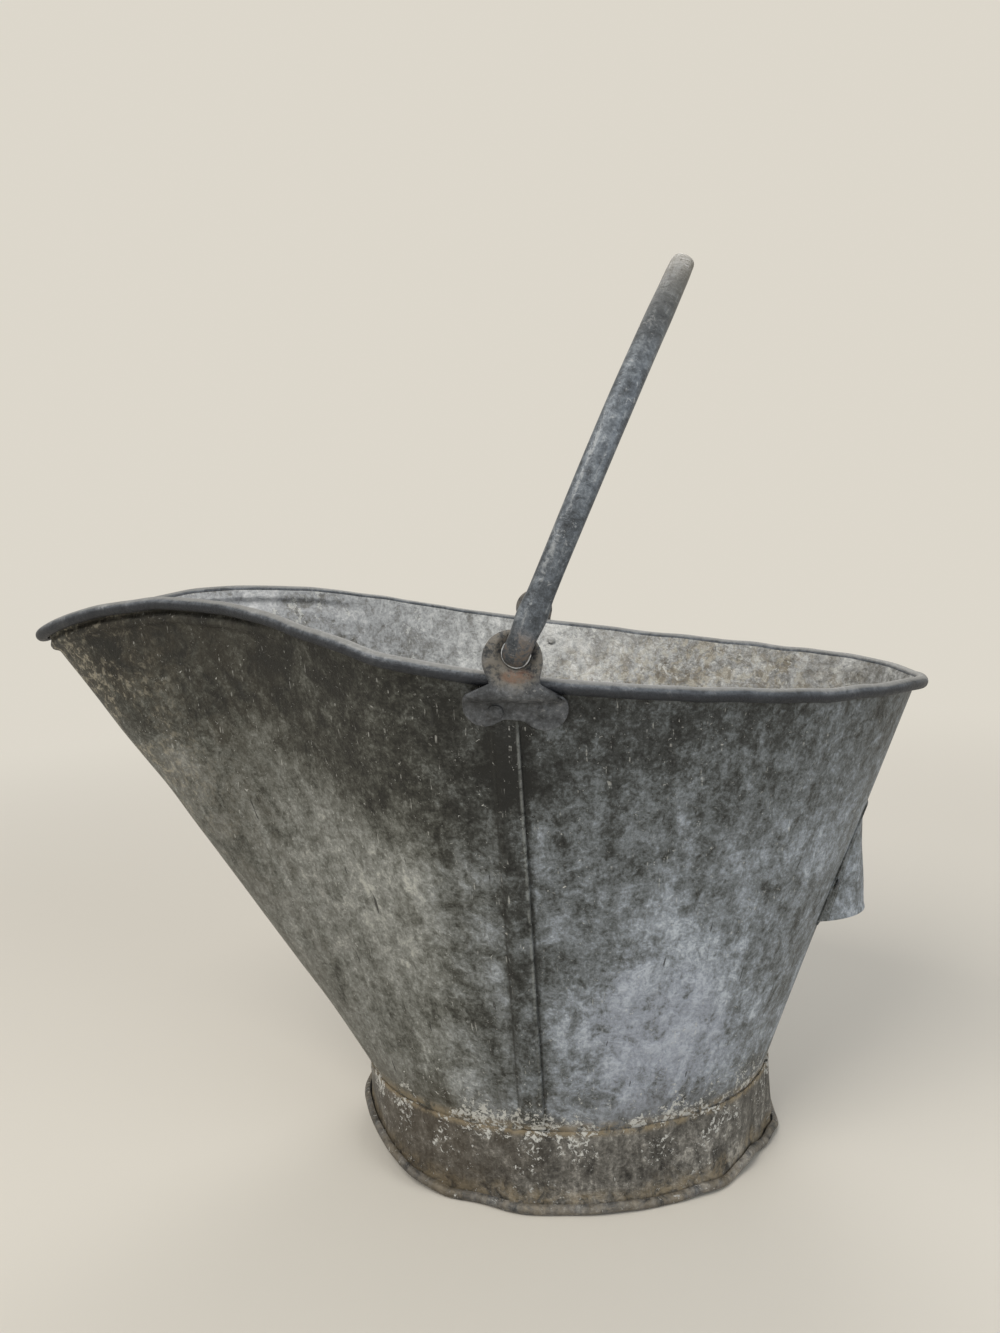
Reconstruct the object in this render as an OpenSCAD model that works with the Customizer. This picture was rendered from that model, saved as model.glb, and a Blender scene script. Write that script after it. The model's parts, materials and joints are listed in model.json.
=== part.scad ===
// Galvanised helmet coal scuttle: a sheet body in two halves with a pouring spout, a swinging bail
// and a finger grip at the back. The spout points along -X, the bail turns about Y, and the origin
// is the middle of the foot on the floor. "Near" pieces are on the -Y side, "far" ones on +Y.

/* [Overall] */
// Reach of the spout's lip in front of the foot's middle
spout_reach = 298; // [230:1:380]
// Reach of the back rim behind the foot's middle
back_reach = 202; // [160:1:260]
// Greatest width over the rim
rim_w = 300; // [250:1:370]
// Height of the rim's middle line at the back
back_h = 255.5; // [210:0.5:320]
// Height of the rim's middle line beside the ears
side_h = 278; // [230:1:340]
// Height of the rim's middle line at the spout's crest
crest_h = 313; // [260:1:380]
// Height of the rim's middle line at the spout's tip
tip_h = 293; // [240:1:360]

/* [Body] */
// Thickness of the galvanised sheet
sheet = 0.8; // [0.6:0.05:1]
// Length of the body's oval where it enters the foot ring
waist_l = 228; // [190:1:270]
// Width of the body's oval where it enters the foot ring
waist_w = 184; // [150:1:230]
// How far the sheet fans out from its bottom edge to its rim at the sides, in degrees
fan = 38; // [25:1:42]
// Width of the folded side seam
seam_w = 12; // [9:0.5:16]
// Height of the bead pressed under the lip
bead_h = 1.2; // [0:0.1:2]

/* [Rim] */
// Diameter of the wire inside the rolled rim
rim_wire_d = 4.8; // [3:0.1:6]
// How far the sheet turns round the wire, in degrees
roll_turn = 295; // [240:5:300]

/* [Foot] */
// Height of the foot ring
foot_h = 43; // [32:1:60]
// Spread of the foot ring from its top edge down to its bead
foot_flare = 0.6; // [0.4:0.1:8]
// How far the foot's front has been bent up
foot_bend = 15; // [0:1:18]
// Diameter of the wire inside the foot's bead
foot_wire_d = 3; // [2:0.1:4]
// Length of the foot ring's lap joint
lap_l = 14; // [8:1:22]

/* [Ears] */
// Distance of the ear holes in front of the foot's middle
ear_x = 14; // [5:1:25]
// Height of the ear holes above the rim's middle line beside them
ear_rise = 13; // [11:0.1:16]
// Diameter of the ear hole
ear_bore = 15.6; // [14.5:0.1:18]
// Width of the ear's raised loop
loop_w = 27; // [24:0.5:32]
// Width across the ear's two lobes
lobes_w = 46; // [40:1:56]
// Thickness of the ear
ear_t = 1.6; // [1.2:0.1:2]
// Diameter of the rivet heads
rivet_head_d = 7; // [6:0.5:9]
// Diameter of the rivet shanks
rivet_d = 3.4; // [3:0.1:4]

/* [Bail] */
// Distance from the ear holes' axis to the top of the bail
bail_h = 206.5; // [190:0.5:240]
// Width of the bail's flattened tube
bail_w = 11; // [9.5:0.5:14]
// Thickness of the bail's flattened tube
bail_t = 9; // [8:0.5:11]
// Diameter of the bail's hooked ends
hook_d = 12; // [10:0.1:12.6]
// Lean of the bail back from upright at rest, in degrees
bail_lean = 25; // [0:0.1:60]

/* [Rear grip] */
// Height of the grip's mouth above the floor
grip_z = 127; // [100:1:150]
// Height of the grip from its mouth to its top
grip_h = 56; // [40:1:70]
// Width of the grip's pocket at its mouth
grip_w = 66; // [50:1:80]
// Depth of the grip's pocket at its mouth
grip_d = 23; // [15:1:30]

/* [Hidden] */
zinc = "#7c8182";

// Gaps: between folded sheets, between soldered pieces, round a captive wire or rivet, under an ear or
// a rivet's head, and beside the bail
seat_gap = 0.1;
fit_gap = 0.2;
wire_gap = 0.15;
ear_gap = 0.4;
bail_gap = 1.2;

// Folded sheets lie one ply apart
ply = sheet + seat_gap;
roll_r = rim_wire_d / 2 + wire_gap + sheet / 2;
roll_out = roll_r + sheet / 2;
bead_r = foot_wire_d / 2 + wire_gap + sheet / 2;
bead_out = bead_r + sheet / 2;

// The rim's plan is a sum of harmonics: a full round back and a tapered, round-nosed spout
rim_l = spout_reach + back_reach - 2 * roll_out;
plan_2 = 0.051 * rim_l;
plan_3 = 0.06 * rim_l;
plan_1 = rim_l / 2 - plan_3;
plan_0 = (back_reach - spout_reach) / 2 - plan_2;
width_shares = [1, 0.308, 0.034, -0.024];
width_peak = max([for (a = [0:1:180]) width_sum(a)]);
// Places round the rim, in degrees from the back, of its sides and its crest, and its rise at the sides
// and at the back in mm a degree
side_at = 60;
crest_at = 135;
side_rise = 0.55;
back_rise = 0.15;

// The side seam's lead on the ear holes, in degrees, which puts it between the ear's rivets; its place
// round the body; and the height of its lower end
seam_lead = 2.9;
seam_at = t_of_rim(-ear_x) + seam_lead;
seam_lo = foot_h + 3;
// Where the seam isn't folded the sheets meet edge to edge: how far along, their gap, and how much wider
// the columns beside it are spaced in the roll than at the foot
butt_u = 6.5;
butt_gap = 0.15;
butt_spread = 2.2;
// The body goes this far down into the foot ring, and the base plate's flange this far above it
tuck = 6;
flange_up = 3;
// The lip's bead: its distance under the rim, half its width, and its reach each side of the tip
bead_down = 7.5;
bead_half = 3;
bead_reach = 54;
// Sheet columns, in degrees round the body
front_step = 2.4;
back_step = 2.9;
foot_step = 5;
roll_steps = 10;

// The ears: lobes under the rim, a neck over the roll and a loop above it
lobe_r = 11;
lobe_drop = 12;
rivet_pitch = 20;
rivet_drop = 25.4;
head_t = 1.1;
seat_t = 0.25;
// The bail's ends: their reach past the ear, wall and root, the bend's radius and the straight leg
hook_reach = 8;
hook_wall = 1.4;
hook_root = 0.5;
elbow_r = 7;
bail_leg = 60;

// The grip's flange round its pocket
flange_w = 7;
grip_gap = 0.15;
// How far the flange bows out from under a rivet's head
grip_bow = 0.4;

function unit(v) = v / norm(v);
function mix(a, b, f) = a + (b - a) * f;
function clamp(f) = max(0, min(1, f));
function smooth(f) = let (c = clamp(f)) c * c * (3 - 2 * c);
function level(v) = [v.x, v.y, 0];
function fold(a) = let (m = (a % 360 + 360) % 360) min(m, 360 - m);
function width_sum(a) = width_shares * [sin(a), sin(2 * a), sin(3 * a), sin(4 * a)];
// A smooth climb from a to b over span, leaving with slope p and arriving with slope q
function climb(f, a, b, p, q, span) =
    mix(a, b, smooth(f)) + span * f * (1 - f) * (p * (1 - f) - q * f);
function rim_height(a) =
    a < side_at ? climb(a / side_at, back_h, side_h, back_rise, side_rise, side_at)
    : a < crest_at
        ? climb((a - side_at) / (crest_at - side_at), side_h, crest_h, side_rise, 0, crest_at - side_at)
    : climb((a - crest_at) / (180 - crest_at), crest_h, tip_h, 0, 0, 180 - crest_at);

// Middle of the rolled rim, t degrees round the body from the back
function rim_at(t) = let (a = t - fan * sin(t) * abs(sin(t))) [
    plan_0 + plan_1 * cos(a) + plan_2 * cos(2 * a) + plan_3 * cos(3 * a),
    (rim_w / 2 - roll_out) * width_sum(a) / width_peak,
    rim_height(fold(a))
];
function rim_along(t) = rim_at(t + 0.5) - rim_at(t - 0.5);
function waist_at(t) = [waist_l / 2 * cos(t), waist_w / 2 * sin(t), foot_h];
function waist_along(t) = waist_at(t + 0.5) - waist_at(t - 0.5);
function rise_at(t) = rim_at(t) - waist_at(t);
function rim_out(t) = unit(cross(rim_along(t), rise_at(t)));
function waist_out(t) = unit(cross(waist_along(t), rise_at(t)));
function top_at(t) = rim_at(t) - rim_out(t) * roll_r;

// Middle of the body's sheet and its outward normal, s being 0 at the waist and 1 at the rim
function wall_at(t, s) = mix(waist_at(t), top_at(t), s);
function wall_out(t, s) = unit(mix(waist_out(t), rim_out(t), s));
function wall_along(t, s) = wall_at(t + 0.5, s) - wall_at(t - 0.5, s);
function s_of_z(t, z) = (z - foot_h) / (top_at(t).z - foot_h);
// A point off the wall's middle at height z, moved level so that it keeps that height
function beside(t, z, d) = let (
    s = s_of_z(t, z),
    n = wall_out(t, s),
    out = unit(level(n))
) wall_at(t, s) + out * d / (n * out);
// Where the wall stands x along at height z, on the side where y is positive
function t_of(x, z, lo = 20, hi = 160, n = 26) = let (m = (lo + hi) / 2)
    n == 0 ? m : wall_at(m, s_of_z(m, z)).x > x ? t_of(x, z, m, hi, n - 1) : t_of(x, z, lo, m, n - 1);
function t_of_rim(x, lo = 20, hi = 160, n = 26) = let (m = (lo + hi) / 2)
    n == 0 ? m : rim_at(m).x > x ? t_of_rim(x, m, hi, n - 1) : t_of_rim(x, lo, m, n - 1);

// A closed sheet from two grids of points, rows going up and columns anticlockwise seen from above.
// on(r, c) says which cells exist; each cell's free edges get a side face.
function cell_on(on, r, c) = r >= 0 && c >= 0 && r < len(on) && c < len(on[0]) && on[r][c];
function sheet_faces(on) = let (
    w = len(on[0]) + 1,
    n = w * (len(on) + 1)
) [
    for (r = [0:len(on) - 1], c = [0:w - 2])
        if (on[r][c]) let (
            a = r * w + c, b = a + 1, d = a + w, e = d + 1
        ) each concat(
            [[a, e, b], [a, d, e], [a + n, b + n, e + n], [a + n, e + n, d + n]],
            cell_on(on, r - 1, c) ? [] : [[a, b, b + n], [a, b + n, a + n]],
            cell_on(on, r + 1, c) ? [] : [[e, d, d + n], [e, d + n, e + n]],
            cell_on(on, r, c - 1) ? [] : [[d, a, a + n], [d, a + n, d + n]],
            cell_on(on, r, c + 1) ? [] : [[b, e, e + n], [b, e + n, b + n]]
        )
];
module sheet_solid(outer, inner, on) {
    polyhedron(concat([for (r = outer) each r], [for (r = inner) each r]), sheet_faces(on));
}
// A solid from closed loops of points, one after the other; the ends are capped or joined to each other
module loft(loops, joined = false) {
    n = len(loops[0]);
    last = len(loops) - 1;
    polyhedron(
        [for (l = loops) each l],
        concat(
            [for (i = [0:joined ? last : last - 1], j = [0:n - 1])
                let (a = i * n, b = (i + 1) % (last + 1) * n, k = (j + 1) % n)
                    each [[a + j, b + k, a + k], [a + j, b + j, b + k]]],
            joined ? [] : [[for (j = [0:n - 1]) j], [for (j = [n - 1:-1:0]) last * n + j]]
        )
    );
}

// The folded seam ends this far under the rim, below the ear
seam_end = rivet_drop + lobe_r - ear_rise - 1;

// Rows of the body sheets: ["z", height], ["up", s], ["down", distance under the rim], ["roll", angle]
roll_rows = [for (i = [1:roll_steps]) ["roll", roll_turn * i / roll_steps]];
lower_rows = [
    ["z", foot_h - tuck], ["z", foot_h + 0.5], ["z", seam_lo], ["up", 0.25], ["up", 0.5], ["up", 0.72],
    ["down", seam_end + 8], ["down", seam_end]
];
front_rows = concat(
    lower_rows,
    [for (d = [bead_down + bead_half * 1.2, bead_down + bead_half / 2, bead_down,
        bead_down - bead_half / 2, bead_down - bead_half * 0.9, 0]) ["down", d]],
    roll_rows
);
back_rows = concat(lower_rows, [["down", 0]], roll_rows);
SEAM_FIRST = 2;
SEAM_LAST = 6;

function row_s(row, t) =
    row[0] == "z" ? s_of_z(t, row[1])
    : row[0] == "up" ? row[1]
    : row[0] == "down" ? 1 - row[1] / norm(rise_at(t))
    : 1;
function bead(row, t) = row[0] != "down" ? 0
    : bead_h * smooth(1.2 - abs(row[1] - bead_down) / bead_half) * smooth((bead_reach - fold(180 - t)) / 12);

// Columns: [t0, side, u, level, turn, u where the seam isn't folded]. u runs from t0 to the back on the
// given side, level lifts the sheet off the wall in plies, and turn swings its outer face round to u.
function plain(t) = [t, 0, 0, 0, 0, 0];
// A column's u, lift and turn at row i
function col_u(col, i) = i < SEAM_FIRST ? col[5] : i <= SEAM_LAST ? col[2]
    : butt_u + (col[5] - butt_u) * butt_spread;
function col_lift(col, i) = i < SEAM_FIRST || i > SEAM_LAST ? 0 : col[3] * ply;
function col_turn(col, i) = i < SEAM_FIRST || i > SEAM_LAST ? 0 : col[4];

// The middle of the sheet and its outer face's direction at a row and column
function sheet_mid(row, i, col) = let (
    s = row_s(row, col[0]),
    t = col[0] + col[1] * col_u(col, i) / norm(wall_along(col[0], s)),
    out = wall_out(t, s),
    turn = col_turn(col, i)
) row[0] == "roll" ? roll_mid(t, row[1]) : [
    wall_at(t, s) + out * (bead(row, t) + col_lift(col, i)),
    out * cos(turn) + unit(wall_along(t, s)) * col[1] * sin(turn)
];
function roll_mid(t, a) = let (
    out = rim_out(t),
    up = unit(cross(out, rim_along(t))),
    inward = out * cos(a) - up * sin(a)
) [rim_at(t) - inward * roll_r, inward];

module body_sheet(rows, cols, hook_first, hook_last) {
    mid = [for (i = [0:len(rows) - 1]) [for (col = cols) sheet_mid(rows[i], i, col)]];
    on = [for (i = [0:len(rows) - 2]) [for (j = [0:len(cols) - 2])
        (j >= hook_first && j < hook_last) || (i >= SEAM_FIRST && i < SEAM_LAST)]];
    sheet_solid(
        [for (r = mid) [for (p = r) p[0] + p[1] * sheet / 2]],
        [for (r = mid) [for (p = r) p[0] - p[1] * sheet / 2]],
        on
    );
}

// The two halves of the lock seam. The front sheet steps over the back one and folds under it.
function front_hook(t, side) = [
    [t, side, 2.6, 3, -22, butt_u],
    [t, side, seam_w / 2, 3, 0, butt_u],
    for (a = [0:45:180]) [t, side, seam_w - 0.5 + ply * sin(a), 2 + cos(a), a, butt_u],
    [t, side, seam_w * 2 / 3, 1, 180, butt_u],
    [t, side, 4.4, 1, 180, butt_u]
];
function back_hook(t, side) = [
    [t, side, seam_w - 0.4, 2, 180, butt_u + butt_gap],
    [t, side, seam_w * 2 / 3, 2, 180, butt_u + butt_gap],
    for (a = [180:-45:0]) [t, side, 3.6 - ply * sin(a), 1 - cos(a), a, butt_u + butt_gap],
    [t, side, seam_w * 2 / 3, 0, 0, 10],
    [t, side, seam_w + 1, 0, 0, seam_w + 2]
];
function reversed(list) = [for (i = [len(list) - 1:-1:0]) list[i]];

// The sheets' columns. The back's are spaced evenly between its bottom edge and its rim.
front_turns = let (steps = round((360 - 2 * seam_at) / front_step))
    [for (i = [0:steps]) mix(seam_at, 360 - seam_at, i / steps)];
function halfway(t) = t - fan / 2 * sin(t) * abs(sin(t));
function t_of_half(h, lo = -120, hi = 120, n = 30) = let (m = (lo + hi) / 2)
    n == 0 ? m : halfway(m) < h ? t_of_half(h, m, hi, n - 1) : t_of_half(h, lo, m, n - 1);
back_turns = let (reach = halfway(seam_at - 8), steps = round(2 * reach / back_step))
    [for (i = [0:steps]) t_of_half(mix(-reach, reach, i / steps))];

module front_sheet() {
    far = front_hook(seam_at, -1);
    near = front_hook(360 - seam_at, 1);
    steps = len(front_turns) - 1;
    wall = [for (t = front_turns) plain(t)];
    hook = len(far);
    color(zinc) difference() {
        body_sheet(front_rows, concat(reversed(far), wall, near), hook - 1, hook + steps + 1);
        for (side = [-1, 1]) rivet_hole(side, -1);
    }
}

module back_sheet() {
    near = back_hook(-seam_at, 1);
    far = back_hook(seam_at, -1);
    steps = len(back_turns) - 1;
    wall = [for (t = back_turns) plain(t)];
    hook = len(near) - 3;
    color(zinc) difference() {
        body_sheet(back_rows, concat(near, wall, reversed(far)), hook, hook + steps + 6);
        for (side = [-1, 1]) rivet_hole(side, 1);
        for (place = grip_rivets) grip_rivet_hole(place);
    }
}

// A tube of radius r along a closed line of middles, each with its outward direction
module wire(middles, outs, r, sides = 8) {
    loft([for (i = [0:len(middles) - 1]) let (
        next = middles[(i + 1) % len(middles)],
        prev = middles[(i + len(middles) - 1) % len(middles)],
        out = outs[i],
        up = unit(cross(out, next - prev))
    ) [for (k = [0:sides - 1]) middles[i] + r * (cos(360 * k / sides) * out + sin(360 * k / sides) * up)]],
    joined = true);
}

module rim_wire() {
    turns = concat(back_turns, [seam_at - 5, seam_at - 2.5], front_turns, [362.5 - seam_at, 365 - seam_at]);
    color("#6f7374") wire([for (t = turns) rim_at(t)], [for (t = turns) rim_out(t)], rim_wire_d / 2);
}

// The floor of the bucket, with its edge turned up inside the body
module base_plate() {
    turns = [for (t = [0:foot_step:359]) t];
    fit = -(sheet / 2 + fit_gap);
    floor_z = foot_h - tuck + 0.4;
    color(zinc) loft([
        [for (t = turns) beside(t, floor_z, fit)],
        [for (t = turns) beside(t, foot_h + flange_up, fit)],
        [for (t = turns) beside(t, foot_h + flange_up, fit - sheet)],
        [for (t = turns) beside(t, floor_z + sheet, fit - sheet)]
    ]);
}

// Foot ring: from its top edge against the body down to a bead rolled outward round a wire
function foot_out(t) = unit(level(waist_out(t)));
function foot_lift(t) = foot_bend * pow(clamp((-cos(t) - 0.52) / 0.48), 1.2);
function foot_mid(t, f) = let (
    out = foot_out(t),
    off = (sheet / 2 + fit_gap) / (waist_out(t) * out) + sheet / 2,
    low = bead_out + foot_lift(t)
) level(waist_at(t)) + out * (off + foot_flare * (1 - f)) + [0, 0, mix(low, foot_h, f)];
function foot_wire_at(t) = foot_mid(t, 0) + foot_out(t) * bead_r;

// The ring's two ends lap near the back on the near side, above the bead
lap_at = -14;
lap_turn = lap_l / norm(waist_along(lap_at));
// Rows of the foot ring: [height share, turn round the wire, lapped or not]
foot_rows = concat(
    [for (i = [9:-1:1]) [0, 31 * i, 0]],
    [[0, 0, 0], [0.12, 0, 0], [0.17, 0, 1], [0.6, 0, 1], [1, 0, 1]]
);
FOOT_LAP_ROW = 11;

foot_turns = let (steps = round(360 / foot_step))
    [for (i = [0:steps - 1]) lap_at + i * 358 / (steps - 1)];

module foot_ring() {
    steps = len(foot_turns);
    turns = concat(foot_turns, [for (f = [0, 0.5, 1]) lap_at + 360 - seat_gap + f * lap_turn]);
    lift = [for (i = [0:len(turns) - 1]) i < steps ? 0 : ply];
    mid = [for (row = foot_rows) [for (i = [0:len(turns) - 1]) let (
        t = turns[i],
        out = foot_out(t),
        inward = out * cos(row[1]) + [0, 0, sin(row[1])],
        face = row[1] > 0 ? inward : out
    ) [
        row[1] > 0 ? foot_wire_at(t) - inward * bead_r : foot_mid(t, row[0]) + out * lift[i] * row[2],
        face
    ]]];
    on = [for (i = [0:len(foot_rows) - 2]) [for (j = [0:len(turns) - 2]) j < steps || i >= FOOT_LAP_ROW]];
    color("#6d6c66") sheet_solid(
        [for (r = mid) [for (p = r) p[0] + p[1] * sheet / 2]],
        [for (r = mid) [for (p = r) p[0] - p[1] * sheet / 2]],
        on
    );
}

module foot_wire() {
    middles = [for (t = foot_turns) foot_wire_at(t)];
    color("#6d6c66") wire(middles, [for (t = foot_turns) foot_out(t)], foot_wire_d / 2);
}

// The ear on the far side. It is a surface of revolution about an upright axis, fitted to the wall.
ear_t0 = t_of_rim(-ear_x);
ear_rim = rim_at(ear_t0);
ear_z = ear_rim.z + ear_rise;
function ear_spot(dx, z) = beside(t_of(dx - ear_x, z), z, sheet / 2 + ear_gap);
function circle_middle(a, b, c) = let (
    u = b - a, v = c - a, k = 2 * (u.x * v.y - u.y * v.x), p = u * u, q = v * v
) [a.x + (v.y * p - u.y * q) / k, a.y + (u.x * q - v.x * p) / k];
ear_mid = let (z = ear_rim.z - rivet_drop + ear_rise, w = lobes_w / 2 - 2)
    circle_middle(level(ear_spot(-w, z)), level(ear_spot(0, z)), level(ear_spot(w, z)));
function ear_rho(p) = norm([p.x - ear_mid.x, p.y - ear_mid.y]);
ear_roll = ear_rho(ear_rim);
// The rim falls towards the back across the ear, and swings a little off the ear's own curve
ear_fall = ear_rim.z - rim_at(t_of_rim(lobes_w / 2 - ear_x)).z;
ear_swing = ear_rho(rim_at(t_of_rim(-loop_w / 2 - ear_x))) - ear_roll;
ear_in = ear_roll + ear_swing + roll_out + ear_gap;
ear_face = ear_mid.y + ear_in + ear_t;
ear_jog = ear_rim.z - ear_fall - roll_out - 1;
ear_low = ear_z - rivet_drop - lobe_r - 1;
ear_top = ear_z + loop_w;

module ear_section() {
    arc = [for (a = [-55:11:0]) a];
    r = roll_out + ear_gap;
    function turned(a, q) = [ear_in - r + q * cos(a), ear_rim.z - ear_fall + q * sin(a)];
    polygon(concat(
        [[ear_rho(ear_spot(0, ear_low)), ear_low], [ear_rho(ear_spot(0, ear_jog)), ear_jog]],
        [for (a = arc) turned(a, r)],
        [[ear_in, ear_top], [ear_in + ear_t, ear_top]],
        [for (a = reversed(arc)) turned(a, r + ear_t)],
        [[ear_rho(ear_spot(0, ear_jog)) + ear_t, ear_jog - ear_t * 0.8],
            [ear_rho(ear_spot(0, ear_low)) + ear_t, ear_low]]
    ));
}

// Front outline of the ear about the middle of its hole
module ear_outline() {
    top = ear_jog - ear_z;
    circle(d = loop_w, $fn = 96);
    translate([-loop_w / 2, top - 1]) square([loop_w, 1 - top]);
    for (side = [-1, 1])
        translate([side * lobe_drop, -rivet_drop + 2]) circle(r = lobe_r, $fn = 96);
    translate([-lobes_w / 2, -rivet_drop + 2]) square([lobes_w, top + rivet_drop - 2]);
    translate([-lobe_drop, -rivet_drop - lobe_r + 5]) square([2 * lobe_drop, lobe_r]);
}

module on_side(side) {
    if (side > 0) children();
    else mirror([0, 1, 0]) children();
}

module ear(side) {
    color("#74797b") on_side(side) difference() {
        intersection() {
            translate([ear_mid.x, ear_mid.y, 0]) rotate_extrude($fn = 180) ear_section();
            translate([-ear_x, ear_face + 20, ear_z]) rotate([90, 0, 0])
                linear_extrude(60) ear_outline();
        }
        translate([-ear_x, ear_face + 20, ear_z]) rotate([90, 0, 0])
            cylinder(d = ear_bore, h = 60, $fn = 96);
        for (place = [-1, 1]) rivet_hole(1, place);
    }
}
module near_ear() ear(-1);
module far_ear() ear(1);

// Puts its children on the line that goes out from p along n
module along(p, n) {
    x = unit(cross([0, 0, 1], n));
    y = cross(n, x);
    multmatrix([[x.x, y.x, n.x, p.x], [x.y, y.y, n.y, p.y], [x.z, y.z, n.z, p.z]]) children();
}
function rivet_place(place) = let (
    z = ear_z - rivet_drop,
    t = t_of(place * rivet_pitch / 2 - ear_x, z),
    s = s_of_z(t, z)
) [wall_at(t, s), wall_out(t, s)];
module rivet_hole(side, place) {
    on_side(side) along(rivet_place(place)[0], rivet_place(place)[1])
        translate([0, 0, -6]) cylinder(d = rivet_d + 2 * wire_gap, h = 14, $fn = 32);
}
// A rivet through the wall and a plate that reaches stack mm out from the wall's middle
module rivet(stack) {
    foot = sheet / 2 + ear_gap;
    top = stack + seat_t;
    r = rivet_head_d / 2;
    rotate_extrude($fn = 48) polygon([
        [0, -foot - head_t], [r * 0.45, -foot - head_t], [r * 0.7, -foot - head_t * 0.5], [r * 0.75, -foot],
        [rivet_d / 2, -foot], [rivet_d / 2, top],
        [r, top], [r * 0.93, top + head_t * 0.5], [r * 0.6, top + head_t * 0.9], [0, top + head_t]
    ]);
}
module ear_rivet(side, place) {
    color("#80868a") on_side(side) along(rivet_place(place)[0], rivet_place(place)[1])
        rivet(sheet / 2 + ear_gap + ear_t);
}
module near_front_rivet() ear_rivet(-1, -1);
module near_back_rivet() ear_rivet(-1, 1);
module far_front_rivet() ear_rivet(1, -1);
module far_back_rivet() ear_rivet(1, 1);

// Bail: a flattened tube arched over the mouth, its ends turned in through the ears
bail_half = ear_face + bail_gap + bail_t / 2;
bail_top = bail_h - bail_t / 2;
bail_line = concat(
    [for (a = [0:15:90]) [bail_half - elbow_r + elbow_r * sin(a), elbow_r * (1 - cos(a)), a]],
    [for (f = [0.5, 1]) [bail_half, mix(elbow_r, bail_leg, f), 90]],
    [for (a = [5:5:90]) [bail_half * cos(a), bail_leg + (bail_top - bail_leg) * sin(a),
        atan2((bail_top - bail_leg) * cos(a), -bail_half * sin(a))]]
);
bail_path = concat(bail_line, [for (i = [len(bail_line) - 2:-1:0])
    [-bail_line[i][0], bail_line[i][1], 360 - bail_line[i][2]]]);
function squared(v) = sign(v) * pow(abs(v), 0.85);
function bail_section(p) = let (
    grow = smooth((p[1] - elbow_r) / 25),
    half = mix(hook_d / 2 - 0.3, bail_w / 2, grow),
    out = [0, sin(p[2]), -cos(p[2])]
) [for (k = [0:15]) [half * squared(cos(22.5 * k)), p[0], p[1]] + out * bail_t / 2 * squared(sin(22.5 * k))];

module bail() {
    color("#5f686e") translate([-ear_x, 0, ear_z]) rotate([0, bail_lean, 0]) {
        loft([for (p = bail_path) bail_section(p)]);
        for (side = [-1, 1]) on_side(side) hook();
    }
}
module hook() {
    start = ear_face - ear_t - hook_reach;
    translate([0, start, 0]) rotate([-90, 0, 0]) difference() {
        cylinder(d = hook_d, h = ear_face + bail_gap + hook_root - start, $fn = 96);
        translate([0, 0, -1]) cylinder(d = hook_d - 2 * hook_wall, h = hook_reach, $fn = 96);
    }
}

// Rear grip: a pressed pocket, open below, with a flat flange against the wall
grip_cols = [for (i = [-12:12]) i / 10];
grip_levels = [0, 0.12, 0.25, 0.38, 0.5, 0.62, 0.74, 0.84, 0.92, 1, 1 + flange_w / grip_h];
function grip_half(v) = grip_w / 2 * (1 - 0.3 * v * v);
function grip_depth(v, a) = abs(a) >= 1 || v >= 1 ? 0 : grip_d * (1 - v) * pow(1 - pow(abs(a), 2.6), 0.62);
function grip_at(v, a) = let (
    z = grip_z + v * grip_h,
    s = s_of_z(0, z),
    y = clamp(abs(a)) * grip_half(v) + max(0, abs(a) - 1) * 5 * flange_w,
    t = sign(a) * y / norm(wall_along(0, s))
) beside(t, z, sheet + grip_gap) + [grip_depth(v, a), 0, 0];

module rear_grip() {
    rows = len(grip_levels);
    cols = len(grip_cols);
    mid = [for (v = grip_levels) [for (a = grip_cols) grip_at(v, a)]];
    out = [for (i = [0:rows - 1]) [for (j = [0:cols - 1])
        unit(cross(mid[i][min(j + 1, cols - 1)] - mid[i][max(j - 1, 0)],
            mid[min(i + 1, rows - 1)][j] - mid[max(i - 1, 0)][j])) * sheet / 2]];
    color(zinc) difference() {
        sheet_solid(mid + out, mid - out, [for (i = [0:rows - 2]) [for (j = [0:cols - 2]) true]]);
        for (place = grip_rivets) grip_rivet_hole(place);
    }
}
grip_rivets = [[0.4, -1.1], [0.4, 1.1], [1 + flange_w / grip_h / 2, 0]];
function grip_spot(place) = grip_at(place[0], place[1]);
module on_grip(place) {
    p = grip_spot(place);
    s = s_of_z(0, p.z);
    y = clamp(abs(place[1])) * grip_half(place[0]) + max(0, abs(place[1]) - 1) * 5 * flange_w;
    t = sign(place[1]) * y / norm(wall_along(0, s));
    along(wall_at(t, s_of_z(t, p.z)), wall_out(t, s_of_z(t, p.z))) children();
}
module grip_rivet_hole(place) {
    on_grip(place) translate([0, 0, -6]) cylinder(d = rivet_d + 2 * wire_gap, h = 14, $fn = 32);
}
module grip_rivet(place) {
    color("#80868a") on_grip(place) rivet(sheet * 3 / 2 + grip_gap + grip_bow);
}
module grip_near_rivet() grip_rivet(grip_rivets[0]);
module grip_far_rivet() grip_rivet(grip_rivets[1]);
module grip_top_rivet() grip_rivet(grip_rivets[2]);

front_sheet();
back_sheet();
rim_wire();
base_plate();
foot_ring();
foot_wire();
near_ear();
far_ear();
near_front_rivet();
near_back_rivet();
far_front_rivet();
far_back_rivet();
bail();
rear_grip();
grip_near_rivet();
grip_far_rivet();
grip_top_rivet();
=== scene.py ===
import json
import math

import bpy
import numpy as np
from mathutils import Matrix, Vector, noise

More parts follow.
